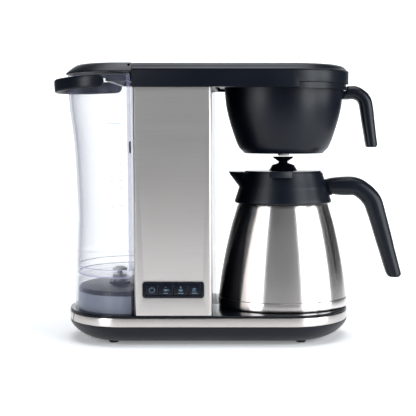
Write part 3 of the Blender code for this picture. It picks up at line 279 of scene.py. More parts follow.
def spread_across(tree, shader, amount):
    """The scratches run level, so they smear a reflection up and down, across themselves."""
    level = add(tree, "ShaderNodeTangent", {}, direction_type="RADIAL", axis="Z")
    feed(tree, shader, {"Tangent": level.outputs["Tangent"], "Anisotropic": amount,
                        "Anisotropic Rotation": 0.25})


def mixed(tree, wide, share, fine):
    """The fine pattern with a share of the wide one added."""
    return add(tree, "ShaderNodeMath", {0: wide, 1: share, 2: fine}, operation="MULTIPLY_ADD").outputs[0]


def metal(tree, shader, tone, play, streaks, gloss, roughness, relief):
    """Colour that plays about the tone with the streaks, and roughness that follows the gloss."""
    light, dark = tuple(min(1.0, c * (1 + play)) for c in tone), tuple(c * (1 - play) for c in tone)
    feed(tree, shader, {"Base Color": tinted(tree, ranged(tree, streaks, 0, 1), dark, light),
                        "Roughness": ranged(tree, gloss, *roughness), "Metallic": 1.0, "Normal": relief})


def brushed_steel(name, stretch, tone, roughness, depth=SCRATCH_DEPTH, scale=60.0):
    made, tree, shader, place = new_finish(name)
    if stretch[2] > 1:
        spread_across(tree, shader, 0.8)
    fine = noise(tree, place, scale, 4.0, stretch)
    both = mixed(tree, noise(tree, place, 6.0), 0.25, fine)
    metal(tree, shader, tone, 0.025, fine, both, roughness, bumped(tree, fine, depth, 0.3))
    return made


def brushed_round(name, tone, roughness):
    """Brushed round an upright axis, so the scratches follow the height only."""
    made, tree, shader, place = new_finish(name)
    spread_across(tree, shader, 0.75)
    height = add(tree, "ShaderNodeSeparateXYZ", {"Vector": place}).outputs["Z"]
    rings = add(tree, "ShaderNodeTexNoise", {"Scale": 3600.0, "Detail": 3.0}, noise_dimensions="1D")
    feed(tree, rings, {"W": height})
    fine = rings.outputs["Fac"]
    both = mixed(tree, noise(tree, place, 7.0), 0.2, fine)
    metal(tree, shader, tone, 0.03, both, both, roughness, bumped(tree, fine, SCRATCH_DEPTH, 0.25))
    return made


TOWER_STEEL = brushed_steel("tower_steel", (0.25, 0.25, 22), (0.72, 0.68, 0.655), (0.38, 0.44))
BAND_STEEL = brushed_steel("band_steel", (0.4, 0.4, 20), (0.63, 0.59, 0.56), (0.26, 0.32))
CARAFE_STEEL = brushed_round("carafe_steel", (0.72, 0.68, 0.66), (0.20, 0.26))
BRIGHT_STEEL = brushed_steel("bright_steel", (1, 1, 1), (0.66, 0.66, 0.66), (0.10, 0.2), 0.000002, 40.0)
CAST_ALLOY = brushed_steel("cast_alloy", (1, 1, 1), (0.40, 0.40, 0.41), (0.45, 0.65), 0.00015, 220.0)
print("steels made")

# %% [markdown]
# ## Clear plastic
# A thin clear wall is almost unseen where the eye meets it square on, and turns into a pale violet
# line where it is seen edge on, since the light then travels a long way inside it. Layer Weight
# knows how edge on a surface is, so it drives how solid the plastic looks.

# %% Clear finish
def clear_plastic(name, tint, square_on, edge_on, power):
    made, tree, shader, place = new_finish(name)
    edge = add(tree, "ShaderNodeLayerWeight", {"Blend": 0.5})
    curve = add(tree, "ShaderNodeMath", {0: edge.outputs["Facing"], 1: power}, operation="POWER")
    ripple = noise(tree, place, 9.0, 1.0, (1, 1, 0.3))
    feed(tree, shader, {"Alpha": ranged(tree, curve.outputs[0], square_on, edge_on, 0, 1),
                        "Base Color": tinted(tree, ripple, tuple(c * 0.96 for c in tint), tint),
                        "Roughness": 0.045, "IOR": 1.5, "Normal": bumped(tree, ripple, 0.0002, 0.25)})
    return made


TANK_CLEAR = clear_plastic("tank_clear", (0.30, 0.31, 0.42), 0.070, 0.62, 3.2)
TANK_CORNER = clear_plastic("tank_corner_clear", (0.50, 0.48, 0.74), 0.30, 0.70, 1.6)
print("clear plastic made")

# %% [markdown]
# ## Shaping tools
# Most pieces here are either turned on an axis, or drawn as a stack of outlines with a skin over
# them. Both give clean quads. A smooth curve through a few chosen points stands in for a long list
# of points, so each outline only holds the points its shape needs.

# %% Curves, lofts and turned shapes
def smooth(points, steps=6):
    """A Catmull-Rom curve through the points, as tuples of the same length."""
    ends = [points[0]] + list(points) + [points[-1]]
    made = []
    for p0, p1, p2, p3 in zip(ends, ends[1:], ends[2:], ends[3:]):
        for i in range(steps):
            t = i / steps
            made.append(tuple(
                0.5 * (2 * b + (c - a) * t + (2 * a - 5 * b + 4 * c - d) * t * t
                       + (3 * b - a - 3 * c + d) * t ** 3)
                for a, b, c, d in zip(p0, p1, p2, p3)))
    return made + [tuple(points[-1])]


def loft(rings, closed=False):
    bm = bmesh.new()
    rows = [[bm.verts.new(point) for point in ring] for ring in rings]
    pairs = list(zip(rows, rows[1:]))
    if closed:
        pairs.append((rows[-1], rows[0]))
    else:
        bm.faces.new(rows[0])
        bm.faces.new(rows[-1])
    for low, high in pairs:
        for i in range(len(low)):
            j = (i + 1) % len(low)
            bm.faces.new((low[i], low[j], high[j], high[i]))
    bmesh.ops.recalc_face_normals(bm, faces=bm.faces[:])
    return bm


def turned(profile, centre=(0, 0), count=96, closed=False):
    """A turned shape. A profile that starts or ends on the axis is closed by a fan there."""
    bm = bmesh.new()
    rows = []
    for radius, z in profile:
        n = 1 if radius < 1e-6 else count
        rows.append([bm.verts.new((centre[0] + radius * math.cos(math.tau * i / count),
                                   centre[1] + radius * math.sin(math.tau * i / count), z))
                     for i in range(n)])
    pairs = list(zip(rows, rows[1:]))
    if closed:
        pairs.append((rows[-1], rows[0]))
    for low, high in pairs:
        if len(low) == len(high) == 1:
            continue
        for i in range(count):
            j = (i + 1) % count
            corners = [low[i % len(low)], low[j % len(low)], high[j % len(high)], high[i % len(high)]]
            bm.faces.new(list(dict.fromkeys(corners)))
    if not closed:
        for row in (rows[0], rows[-1]):
            if len(row) > 1:
                bm.faces.new(row)
    bmesh.ops.recalc_face_normals(bm, faces=bm.faces[:])
    return bm


def flat_prism(outline, low, high):
    return loft([[(x, y, z) for x, y in outline] for z in (low, high)])


def side_plate(outline, y0, y1):
    """A plate across Y, drawn by its (x, z) outline."""
    return loft([[(x, y, z) for x, z in outline] for y in (y0, y1)])


def box_of(x0, x1, y0, y1, z0, z1):
    return flat_prism(((x0, y0), (x1, y0), (x1, y1), (x0, y1)), z0, z1)


def bar(start, end, radius, count=24):
    start, end = Vector(start), Vector(end)
    turn = (end - start).to_track_quat("Z", "X").to_matrix()
    ring = [turn @ Vector((radius * math.cos(math.tau * i / count),
                           radius * math.sin(math.tau * i / count), 0)) for i in range(count)]
    return loft([[point + p for p in ring] for point in (start, end)])


print("shaping tools ready")

# %% [markdown]
# ## Finishing a piece
# A piece is drawn in millimetres, cut or joined, given small rounded edges, and only then put into
# the scene's metres. Real moulded and folded edges always have a radius. The radius is what catches
# a thin line of light, so it matters more to the look than its size suggests.

# %% Cut, join, round and place
MERGE_GAP = 2e-6  # metres
FLAT_ANGLE = math.radians(0.6)


def as_object(bm, name="helper"):
    mesh = bpy.data.meshes.new(name)
    bm.to_mesh(mesh)
    bm.free()
    return linked(name, mesh)


def evaluated(obj):
    """The object's mesh with its modifiers applied, and the object gone."""
    bpy.context.view_layer.update()
    graph = bpy.context.evaluated_depsgraph_get()
    mesh = bpy.data.meshes.new_from_object(obj.evaluated_get(graph))
    bpy.data.objects.remove(obj)
    return mesh


def combine(bm, operation, tools):
    for tool in tools:
        target, helper = as_object(bm), as_object(tool)
        step = target.modifiers.new("combine", "BOOLEAN")
        step.operation, step.object, step.solver = operation, helper, "EXACT"
        mesh = evaluated(target)
        bpy.data.objects.remove(helper)
        bm = bmesh.new()
        bm.from_mesh(mesh)
        bpy.data.meshes.remove(mesh)
    return bm


def cut(bm, *tools):
    return combine(bm, "DIFFERENCE", tools)


def weld(bm, *tools):
    return combine(bm, "UNION", tools)


def of_node(node):
    """A merged copy of a CAD node in drawing millimetres, for a piece whose shape is already right."""
    bm = bmesh.new()
    bm.from_mesh(frame["nodes"][node].data)
    bmesh.ops.remove_doubles(bm, verts=bm.verts[:], dist=MERGE_GAP)
    bmesh.ops.translate(bm, vec=(-BASE_MIDDLE, 0, 0), verts=bm.verts[:])
    bmesh.ops.scale(bm, vec=(1000, 1000, 1000), verts=bm.verts[:])
    bmesh.ops.dissolve_limit(bm, angle_limit=FLAT_ANGLE, verts=bm.verts[:], edges=bm.edges[:])
    return bm


def seat(name, mesh, body, stands_for=()):
    """Puts a finished mesh on its body, in the place of the CAD nodes that it stands for."""
    made = linked(name, mesh)
    if stands_for:
        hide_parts(*stands_for)
    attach(made, body)
    print(f"{name}: {len(mesh.polygons)} faces")
    return made


def piece(name, bm, look, body, slot, *stands_for, edge=0.0, sharp=33, tip=28):
    """Rounds the edges sharper than tip degrees by the radius edge, and puts the piece on its body."""
    obj = as_object(bm, name)
    obj.data.shade_smooth()
    if edge:
        rounding = obj.modifiers.new("rounded edges", "BEVEL")
        rounding.width, rounding.segments = edge, 3
        rounding.limit_method, rounding.angle_limit = "ANGLE", math.radians(tip)
        rounding.use_clamp_overlap = True
    mesh = evaluated(obj)
    mesh.transform(Matrix.Translation((BASE_MIDDLE, 0, 0)) @ Matrix.Scale(MM, 4))
    mesh.shade_smooth()
    mesh.set_sharp_from_angle(angle=math.radians(sharp))
    mesh.materials.clear()
    mesh.materials.append(look)
    mesh.name = name
    return seat(name, mesh, body, stands_for)


def black(name, bm, body, *stands_for, **how):
    """A piece in satin black plastic."""
    return piece(name, bm, SATIN_BLACK, body, "black_plastic", *stands_for, **how)


print("piece tools ready")

# %% [markdown]
# ## Two finishes on one piece
# Some pieces are lacquered or polished on a part of them only, with the rest masked off. The
# coated faces are picked here by where they are and which way they face, so the shape stays one.

# %% Give some faces a second finish
def repaint(obj, look, picks):
    """Gives look to each face that picks(middle, normal) accepts, both in drawing millimetres."""
    obj.data.materials.append(look)
    last, count = len(obj.data.materials) - 1, 0
    for face in obj.data.polygons:
        middle = (face.center - Vector((BASE_MIDDLE, 0, 0))) / MM
        if picks(middle, face.normal):
            face.material_index = last
            count += 1
    print(f"{obj.name}: {count} faces in {look.name}")


print("second finishes ready")

# %% [markdown]
# ## Base outlines
# Seen from above, the base is a long box with rounded ends. Each end is half an ellipse, so it
# leaves the straight side without a corner. The arm above the basket repeats the right end.

# %% Outlines shared by the base and the arm
BASE_LENGTH, BASE_WIDTH, END_REACH = 315.0, 178.0, 66.0
END_X = BASE_LENGTH / 2 - END_REACH


def half_oval(centre_x, reach, half, side, steps=48):
    return [(centre_x + side * reach * math.cos(a), half * math.sin(a) * side)
            for a in (math.pi * (i / steps - 0.5) for i in range(steps + 1))]


def base_outline(inset=0.0):
    reach, half = END_REACH - inset, BASE_WIDTH / 2 - inset
    return half_oval(END_X, reach, half, 1) + half_oval(-END_X, reach, half, -1)


def arm_outline(inset, left):
    reach, half = END_REACH - inset, BASE_WIDTH / 2 - inset
    return half_oval(END_X, reach, half, 1) + [(left, half), (left, -half)]


def stacked(outline, steps):
    """Rings from (height, inset) pairs."""
    return [[(x, y, z) for x, y in outline(inset)] for z, inset in steps]


print(f"each base end starts {END_X} mm from the middle")

# %% [markdown]
# ## Base pan
# The pan is a moulded tray whose sides curve in underneath, so the machine seems to float a little
# above the table. The curve is a superellipse: full at the top, and drawn in ever faster.

# %% Make the base pan
PAN_LOW, PAN_HIGH, PAN_TUCK, PAN_POWER, PAN_WALL = 3.2, 21.9, 25.0, 1.6, 2.5
GLAND_X, GLAND_Z = -35, 15.8
SCREW_SPOTS = [(x, y) for x in (-112, 112) for y in (-38, 38)]


def pan_rows(steps=14):
    rows = []
    for k in range(steps + 1):
        u = (k / steps) ** 0.8
        tuck = PAN_TUCK * (1 - (1 - u ** PAN_POWER) ** (1 / PAN_POWER))
        rows.append((PAN_HIGH - (PAN_HIGH - PAN_LOW) * u, tuck))
    return rows


outside = pan_rows()[::-1]
inside = [(z, tuck + PAN_WALL) for z, tuck in pan_rows()[:-2]] + [(PAN_LOW + PAN_WALL, PAN_TUCK + PAN_WALL)]
pan = loft(stacked(base_outline, outside) + stacked(base_outline, inside))
pan = cut(pan, *(turned(((3.6, 0), (3.6, 5.0)), spot, 32) for spot in SCREW_SPOTS),
          bar((GLAND_X, 60, GLAND_Z), (GLAND_X, 110, GLAND_Z), 5.6, 32))
black("base_pan_moulding", pan, "machine", "base_pan", edge=0.5, tip=40)

# %% [markdown]
# ## Steel band and deck
# A brushed steel strip wraps the base. It is rolled slightly round at both edges. The deck over it
# is polished black plastic with a turned edge, and holds the carafe's shallow recess.

# %% Make the band and the deck
band = loft(stacked(base_outline, [(22.2, 1.2), (22.2, 0.35), (22.5, 0.1), (22.9, 0.0), (30.8, 0.0),
                                   (31.2, 0.1), (31.5, 0.35), (31.5, 1.2)]), closed=True)
piece("base_band_strip", band, BAND_STEEL, "machine", "steel_brushed", "base_band")
piece("base_deck_plate", of_node("base_deck"), DECK_BLACK, "machine", "black_plastic", "base_deck",
      edge=0.35, tip=40)
for name in ("foot_front_left", "foot_front_right", "foot_back_left", "foot_back_right"):
    piece(name + "_rubber", of_node(name), FOOT_RUBBER, "machine", "rubber", name, edge=0.4)
black("cord_gland_moulding", of_node("cord_gland"), "machine", "cord_gland", edge=0.3)

# %% [markdown]
# ## Tower
# The tower is one sheet of brushed steel folded into a U, with its open side to the back. Its fold
# lines are small radii. Behind the first 27 mm both sides are lacquered in gloss black. A moulded
# cover with vent slots closes the back. The key panel sits in a pressed rim.

# %% Make the tower
SIDE_FROM = -61.0  # where the black lacquer on the sides begins
KEY_PANEL = (-67.9, -2.1, 53.8, 71.3, 3.0)  # left, right, low, high, corner radius


def rounded_outline(panel, grow, steps=6):
    """A rounded rectangle of (x, z) points, grown all round."""
    x0, x1, z0, z1, radius = panel
    points = []
    for x, z, quarter in ((x1 - radius, z1 - radius, 0), (x0 + radius, z1 - radius, 1),
                          (x0 + radius, z0 + radius, 2), (x1 - radius, z0 + radius, 3)):
        for i in range(steps + 1):
            a = math.pi / 2 * (quarter + i / steps)
            points.append((x + (radius + grow) * math.cos(a), z + (radius + grow) * math.sin(a)))
    return points


sheet = of_node("tower_wrap")
bmesh.ops.bisect_plane(sheet, geom=sheet.verts[:] + sheet.edges[:] + sheet.faces[:],
                       plane_co=(0, SIDE_FROM, 0), plane_no=(0, 1, 0))
tower = piece("tower_sheet", sheet, TOWER_STEEL, "machine", "steel_brushed", "tower_wrap", edge=0.35, tip=35)
repaint(tower, SIDE_BLACK, lambda middle, normal: abs(normal.x) > 0.95 and middle.y > SIDE_FROM)
key_rim = loft([[(x, y, z) for x, z in rounded_outline(KEY_PANEL, out)] for y, out in (
    (-88.35, 0.95), (-88.75, 0.80), (-88.75, 0.45), (-88.35, 0.32))], closed=True)
piece("key_panel_rim", key_rim, BAND_STEEL, "machine", "steel_brushed")
black("tower_back_cover", of_node("tower_rear_cover"), "machine", "tower_rear_cover", edge=0.5, tip=35)
piece("key_surround", of_node("key_bezel"), KEY_BLACK, "machine", "black_plastic", "key_bezel",
      edge=0.3, tip=35)
for key in ("power", "brew", "bloom", "warm"):
    piece(f"key_{key}_cap", of_node(f"key_{key}"), KEY_BLACK, f"key_{key}", "black_plastic",
          f"key_{key}", edge=0.3, tip=20)

# %% [markdown]
# ## The tank's outline
# Seen from above, the tank is half an oval with a flat right side and two small round corners. It
# narrows at the waist and widens again to the rim. Its wall, its dock and its ledges all follow one
# outline, so that outline is drawn once, from a few sections measured upwards.

# %% Outline of the tank
TANK_END, TANK_RIGHT, TANK_WALL = 91.5, -77.5, 2.4
OUTLET_X = -101.4
BAIL_X, BAIL_Z = -113.5, 283.5  # the bail's pivots
TANK_SECTIONS = (
    (34.8, 60.4, 80.0), (82.0, 58.9, 79.0), (110.0, 57.3, 78.2), (140.0, 56.1, 78.0), (182.0, 57.2, 79.0),
    (218.0, 59.2, 80.6), (254.0, 63.2, 83.0), (268.0, 64.2, 83.8), (291.6, 65.0, 84.2),
)
TANK_CURVE = smooth(TANK_SECTIONS, 5)


def tank_section(z):
    for (z0, r0, h0), (z1, r1, h1) in zip(TANK_SECTIONS, TANK_SECTIONS[1:]):
        if z <= z1:
            t = (z - z0) / (z1 - z0)
            return r0 + (r1 - r0) * t, h0 + (h1 - h0) * t
    return TANK_SECTIONS[-1][1:]


def tank_outline(reach, half, inset, corner=4.0):
    reach, half, right = reach - inset, half - inset, TANK_RIGHT - inset
    radius = max(corner - inset, 1.2)
    front = [(right - radius + radius * math.sin(a), -half + radius - radius * math.cos(a))
             for a in (math.pi / 2 * i / 6 for i in range(7))]
    return front + [(x, -y) for x, y in front[::-1]] + half_oval(-TANK_END, reach, half, -1)


def tank_ring(z, inset, reach=None, half=None, corner=4.0):
    if reach is None:
        reach, half = tank_section(z)
    return [(x, y, z) for x, y in tank_outline(reach, half, inset, corner)]


print("tank sections:", len(TANK_SECTIONS))

# %% [markdown]
# ## Tank dock
# A seat stands inside the tank's skirt and is seen through it, so it has the same rounded top edge
# as a moulded seat. Its skirt is grey below and its top is black.

# %% Make the dock
dock = loft([tank_ring(z, TANK_WALL + 1.2 + i) for z, i in (
    (34.7, 0), (53.6, 0), (55.6, 0.2), (57.0, 0.7), (57.9, 1.4), (58.3, 2.4))])
dock = cut(dock, turned(((6.4, 30), (6.4, 70)), (OUTLET_X, 0), 40))
dock = black("tank_dock_moulding", dock, "machine", "tank_dock")
repaint(dock, DOCK_GREY, lambda middle, normal: middle.z < 54.0 and abs(normal.z) < 0.5)

# %% [markdown]
# ## Water tank
# The tank is blown or moulded in one clear piece. Its wall has an outer and an inner face, and both
# bend the light, so both are modelled. The floor sits well above the skirt.

# %% Make the tank
high_rows = [row for row in TANK_CURVE if row[0] > 76]
outer_rings = [tank_ring(z, 0, r, h) for z, r, h in TANK_CURVE]
rim = [tank_ring(TANK_SECTIONS[-1][0], inset) for inset in (0.7, 2.0)]
inner_rings = [tank_ring(z, TANK_WALL, r, h) for z, r, h in high_rows[::-1][1:]]
floor_rings = [tank_ring(75.0, TANK_WALL + 0.6), tank_ring(73.6, TANK_WALL + 1.8, corner=6),
               tank_ring(72.7, TANK_WALL + 3.6, corner=7), tank_ring(72.5, TANK_WALL + 5.6, corner=9)]
tank = loft(outer_rings + rim + inner_rings + floor_rings)
skirt = [tank_ring(z, TANK_WALL + i) for z, i in ((34.8, 0), (66.0, 0), (68.4, 0.5), (69.5, 2.0))]
well = loft([[(x, y, 20.0) for x, y, _ in skirt[0]]] + skirt)
tank = cut(tank, well, turned(((3.4, 60), (3.4, 80)), (OUTLET_X, 0), 40))
tank = weld(tank, turned(((8.6, 61.0), (11.0, 61.0), (11.0, 71.0), (8.6, 71.0)), (OUTLET_X, 0), 48,
                         closed=True))
BOSS, PIVOT = (75.4, 85.7, 5.0, 40), (84.7, 88.6, 2.45, 32)  # near end, far end, radius, sides
for side in (-1, 1):
    tank = weld(tank, *(bar((BAIL_X, side * near, BAIL_Z), (BAIL_X, side * far, BAIL_Z), radius, count)
                        for near, far, radius, count in (BOSS, PIVOT)))
piece("water_tank", tank, TANK_CLEAR, "tank", "clear_plastic", "tank_body", sharp=40)

# %% [markdown]
# ## Tank lid and bracket
# The lid is a shallow moulded cap with soft sloping edges, turning on a pin in the bracket's ears.
# It is a skin over rings that shrink towards the top, with a knuckle welded on and slots for the
# ears. The bracket's shape is already right, but its skirt is trimmed so the tank shows below it.

# %% Make the tank's lid and bracket
LID_X, LID_Z = -81.5, 301  # the hinge


def lid_ring(z, inset, seam):
    reach, half = 67.0 - inset, 86.0 - inset
    right = -78.2 - seam
    return [(x, y, z) for x, y in [(right, -half), (right, half)] + half_oval(-TANK_END, reach, half, -1)]


lid_outside = smooth(((293.5, 0.4, 0), (294.2, 0, 0), (295.1, 0.6, 0), (298.2, 4.2, 0), (301.0, 8.0, 0),
                      (302.5, 10.4, 0.1), (303.6, 13.0, 0.9), (304.0, 16.0, 1.8)), 3)
lid_inside = ((300.4, 13.8, 2.4), (298.4, 11.0, 2.4), (296.2, 7.0, 2.4), (293.5, 3.0, 2.4))
lid = loft([lid_ring(*row) for row in lid_inside] + [lid_ring(*row) for row in lid_outside])
lid = weld(lid, bar((LID_X, -58, LID_Z - 0.4), (LID_X, 58, LID_Z - 0.4), 2.6, 32))
lid = cut(lid, *(box_of(LID_X - 8, LID_X + 20, y - 5, y + 5, 280, 310) for y in (-40, 40)),
          bar((LID_X, -100, LID_Z), (LID_X, 100, LID_Z), 1.55, 32))
black("tank_lid_moulding", lid, "tank_lid", "tank_lid", edge=0.3, tip=45)
bracket = cut(of_node("lid_bracket"), box_of(-110, -76, -90, 90, 270, 284))
black("tank_bracket", bracket, "tank", "lid_bracket", edge=0.3)

# %% [markdown]
# ## Bail
# The bail is a strap that lies round the tank's end and turns up to carry it. It is moulded flat
# and slim, so one rounded section is carried along the tank's half oval, and its two ends are
# rounded off about the pivots.

# %% Make the bail
def bail_strap():
    """A band of rounded section that follows the tank's end. Its pivot holes are blind."""
    half, thick, reach, wide = 13.7 / 2, 3.4, 57.7, 90.3
    outer = [(half, -wide), (0, -wide)]
    inner = [(half, -wide + thick), (0, -wide + thick)]
    for i in range(1, 48):
        a = math.pi * i / 48
        outer.append((-reach * math.sin(a), -wide * math.cos(a)))
        inner.append((-(reach - thick) * math.sin(a), -(wide - thick) * math.cos(a)))
    outer += [(0, wide), (half, wide)]
    inner += [(0, wide - thick), (half, wide - thick)]
    rings = []
    for o, i in zip(outer, inner):
        ring = []
        for k in range(16):
            u, v = math.cos(math.tau * k / 16), math.sin(math.tau * k / 16)
            full = (abs(u) ** 5 + abs(v) ** 5) ** -0.2
            t = (1 + u * full) / 2
            ring.append((i[0] + (o[0] - i[0]) * t, i[1] + (o[1] - i[1]) * t, half * v * full))
        rings.append(ring)
    bm = loft(rings)
    turn = Matrix.Translation((BAIL_X, 0, BAIL_Z)) @ Matrix.Rotation(-math.radians(3.5), 4, "Y")
    bmesh.ops.transform(bm, matrix=turn, verts=bm.verts[:])
    for side in (-1, 1):
        y0, y1 = sorted((side * 95.3, side * 81.9))
        arc = [(BAIL_X + half * math.sin(a), BAIL_Z + half * math.cos(a))
               for a in (math.pi * i / 32 for i in range(33))]
        beyond = [(BAIL_X + dx, BAIL_Z + dz) for dx, dz in ((0, -20), (20, -20), (20, 20), (0, 20))]
        bm = cut(bm, side_plate(arc + beyond, y0, y1),
                 bar((BAIL_X, side * 81.9, BAIL_Z), (BAIL_X, side * 88.9, BAIL_Z), 2.5, 32))
    return bm


black("tank_bail_strap", bail_strap(), "tank_bail", "tank_bail", sharp=40)

# %% [markdown]
# ## Arm
# The arm is two mouldings. The lower one carries the basket's rails, and the upper one is a thin
# cover with sloping shoulders. A fine shadow line shows where they meet.

# %% Make the arm
black("arm_lower_moulding", of_node("arm_housing"), "machine", "arm_housing", edge=0.4, tip=35)
cover_outside = smooth(((295.5, 0.4), (296.1, 0.0), (296.9, 0.5), (298.2, 2.4), (300.6, 4.6), (302.2, 7.0),
                        (303.0, 10.0)), 3)
cover_inside = ((300.8, 9.0), (299.0, 5.4), (296.8, 3.0), (295.5, 2.2))
cover = loft([[(x, y, z) for x, y in arm_outline(i, -75.2)] for z, i in cover_inside]
             + [[(x, y, z) for x, y in arm_outline(i, -77.4)] for z, i in cover_outside])
black("arm_cover_moulding", cover, "machine", "arm_cover", edge=0.3, tip=45)

# %% [markdown]
# ## Brew basket
# The bowl hangs from a flange that slides in the arm. Its outside is one smooth curve, full at the
# top and narrow below. Inside, ribs hold the paper filter off the wall so the water can run.

# %% Make the basket
BASKET_X, FLANGE_LEFT = 84.8, 99.1
bowl_outside = smooth(((49.6, 212.0), (51.8, 216.0), (55.3, 225.0), (61.0, 243.0), (64.9, 261.0),
                       (66.5, 280.7)), 6)
bowl_inside = smooth(((45.6, 213.8), (49.6, 216.0), (53.1, 225.0), (58.8, 243.0), (62.7, 261.0),
                      (64.4, 278.0)), 6)


def rim_outline(inset):
    reach, half = END_REACH - inset, BASE_WIDTH / 2 - inset
    arc = [p for p in half_oval(END_X, reach, half, 1, 64) if p[0] > FLANGE_LEFT + 0.3]
    y = half * math.sqrt(1 - ((FLANGE_LEFT - END_X) / reach) ** 2)
    return [(FLANGE_LEFT, -y)] + arc + [(FLANGE_LEFT, y)]


basket = turned([(0, 206.4), (43.6, 206.4), (44.4, 206.8)] + bowl_outside + [(66.5, 281.6), (0, 281.6)],
                (BASKET_X, 0))
flange = [(12, 84.2), (12, -84.2), (FLANGE_LEFT, -84.2)] + rim_outline(3.06)[1:-1] + [(FLANGE_LEFT, 84.2)]
basket = weld(basket, flat_prism(flange, 280.6, 283.0),
              flat_prism(rim_outline(3.0) + rim_outline(5.4)[::-1], 276.9, 282.9),
              box_of(140, 151.2, -10.5, 10.5, 266.6, 277.5))
basket = cut(basket, turned([(0, 211.8), (9, 211.8), (20, 212.2)] + bowl_inside + [(64.4, 300), (0, 300)],
                            (BASKET_X, 0)),
             *(bar((140, y, 271.6), (160, y, 271.6), 1.5, 20) for y in (-5.5, 5.5)),
             turned(((7.8, 200), (7.8, 209.4)), (BASKET_X, 0), 40),
             turned(((4.2, 205), (4.2, 220)), (BASKET_X, 0), 40))
black("brew_basket_moulding", basket, "basket", "brew_basket", edge=0.3, tip=45)

# %% [markdown]
# ## Handles
# Both handles are swept grips with a soft, squarish section. The two edges of each are drawn as
# curves in the middle plane, and a rounded section is stretched between them.

# %% Make the handles
def grip(outer, inner, width, sides=28, softness=2.6):
    rings = []
    for (xo, zo), (xi, zi) in zip(outer, inner):
        ring = []
        for k in range(sides):
            u, v = math.cos(math.tau * k / sides), math.sin(math.tau * k / sides)
            full = (abs(u) ** softness + abs(v) ** softness) ** (-1 / softness)
            ring.append(((xo + xi) / 2 + (xo - xi) / 2 * u * full, width / 2 * v * full,
                         (zo + zi) / 2 + (zo - zi) / 2 * u * full))
        rings.append(ring)
    return loft(rings)


BASKET_GRIP_OUTER = (
    (151.5, 276.5), (154.8, 276.6), (155.2, 280.9), (158.6, 281.7), (163.8, 281.9), (168.2, 280.8),
    (172.1, 279.0), (178.2, 274.5), (181.7, 270.0), (183.7, 265.6), (185.5, 256.6), (187.0, 243.2),
    (189.2, 225.2), (190.4, 216.3), (189.2, 213.4))
BASKET_GRIP_INNER = (
    (151.5, 266.6), (153.8, 266.5), (155.4, 266.5), (158.0, 266.7), (160.6, 266.9), (162.8, 266.8),
    (165.4, 265.8), (167.6, 264.2), (168.8, 261.9), (169.6, 259.0), (170.8, 252.2), (172.2, 243.0),
    (174.8, 228.4), (176.6, 217.6), (177.9, 213.2))
handle = grip(smooth(BASKET_GRIP_OUTER, 4), smooth(BASKET_GRIP_INNER, 4), 21.0)
black("basket_grip", handle, "basket", "basket_handle", edge=0.6, tip=60)

CARAFE_GRIP_OUTER = (
    (133.0, 177.6), (139.0, 178.9), (150.0, 180.0), (162.4, 180.2), (170.0, 178.4), (176.2, 175.6),
    (185.4, 168.8), (191.8, 162.0), (195.9, 155.2), (198.2, 148.4), (201.9, 134.8), (207.4, 114.2),
    (212.6, 93.6), (218.2, 73.0), (218.9, 68.8), (216.6, 66.3))
CARAFE_GRIP_INNER = (
    (140.2, 160.0), (144.0, 159.6), (150.0, 159.0), (158.0, 158.8), (163.5, 158.9), (167.0, 157.2),
    (171.5, 153.6), (175.8, 148.4), (177.6, 145.0), (178.8, 141.6), (183.5, 127.9), (189.8, 107.4),
    (194.3, 93.6), (200.5, 74.0), (202.6, 69.0), (204.2, 66.8))
outer_edge = [(131.6, 177.3)] + smooth(CARAFE_GRIP_OUTER, 4)
inner_edge = [(138.8, 159.9)] + smooth(CARAFE_GRIP_INNER, 4)
handle = grip(outer_edge, inner_edge, 23.0)
black("carafe_grip", handle, "carafe", "carafe_handle", edge=0.6, tip=60)

# %% [markdown]
# ## Carafe
# The vacuum carafe is spun from steel sheet, so it is turned here too. A foot ring with its own
# thin groove closes the bottom.

# %% Make the carafe's steel
CARAFE_X, CARAFE_LOW, CARAFE_SHEET = 84.3, 45.6, 0.8
carafe_wall = smooth(((73.0, 45.6), (71.1, 61.0), (69.0, 75.0), (66.4, 89.3), (63.6, 103.0), (60.6, 116.3),
                      (57.1, 130.0), (51.6, 148.4)), 6)
rolled_neck = [(48.6, 153.4), (46.6, 160.0), (42.0, 173.4)]
shell = carafe_wall + rolled_neck
floor = CARAFE_LOW + CARAFE_SHEET
shell += [(r - CARAFE_SHEET, max(z, floor)) for r, z in shell[::-1]] + [(65.0, floor), (65.0, CARAFE_LOW)]
piece("carafe_wall", turned(shell, (CARAFE_X, 0), 128, closed=True), CARAFE_STEEL, "carafe",
      "steel_brushed", "carafe_shell", sharp=45)
foot = [(0, 36.7), (66.3, 36.7), (67.3, 34.7), (72.1, 34.7), (72.9, 35.2), (73.2, 36.0), (73.3, 37.1),
        (73.3, 44.5), (73.1, 45.0), (72.7, 45.2), (70.1, 45.2), (70.1, 38.7), (0, 38.7)]
piece("carafe_foot_ring", turned(foot, (CARAFE_X, 0), 128), CARAFE_STEEL, "carafe", "steel_brushed",
      "carafe_foot", sharp=45)

# %% [markdown]
# ## Collar and twist lid
# The collar is one moulding, turned and then drawn out on the left to a pouring beak. Each ring of
# it is pulled out near the beak by more the higher it is. The lid's shape is already right, and its
# top, which the coffee runs over, is polished.

# %% Make the collar and the lid
BEAK_LOW, BEAK_HIGH, BEAK_REACH, BEAK_HALF_ANGLE = 168.6, 185.0, 17.4, 34.0


def collar_ring(radius, z, shrink, count=120):
    grow = max(0.0, (z - BEAK_LOW) / (BEAK_HIGH - BEAK_LOW)) * BEAK_REACH
    ring = []
    for i in range(count):
        a = math.tau * i / count
        off = abs(math.degrees(a) - 180.0) / BEAK_HALF_ANGLE
        lift = grow * max(0.0, 1 - off) ** 1.25
        r = radius + lift - shrink
        ring.append((CARAFE_X + r * math.cos(a), r * math.sin(a), z + (0.06 * lift if z > 184 else 0)))
    return ring


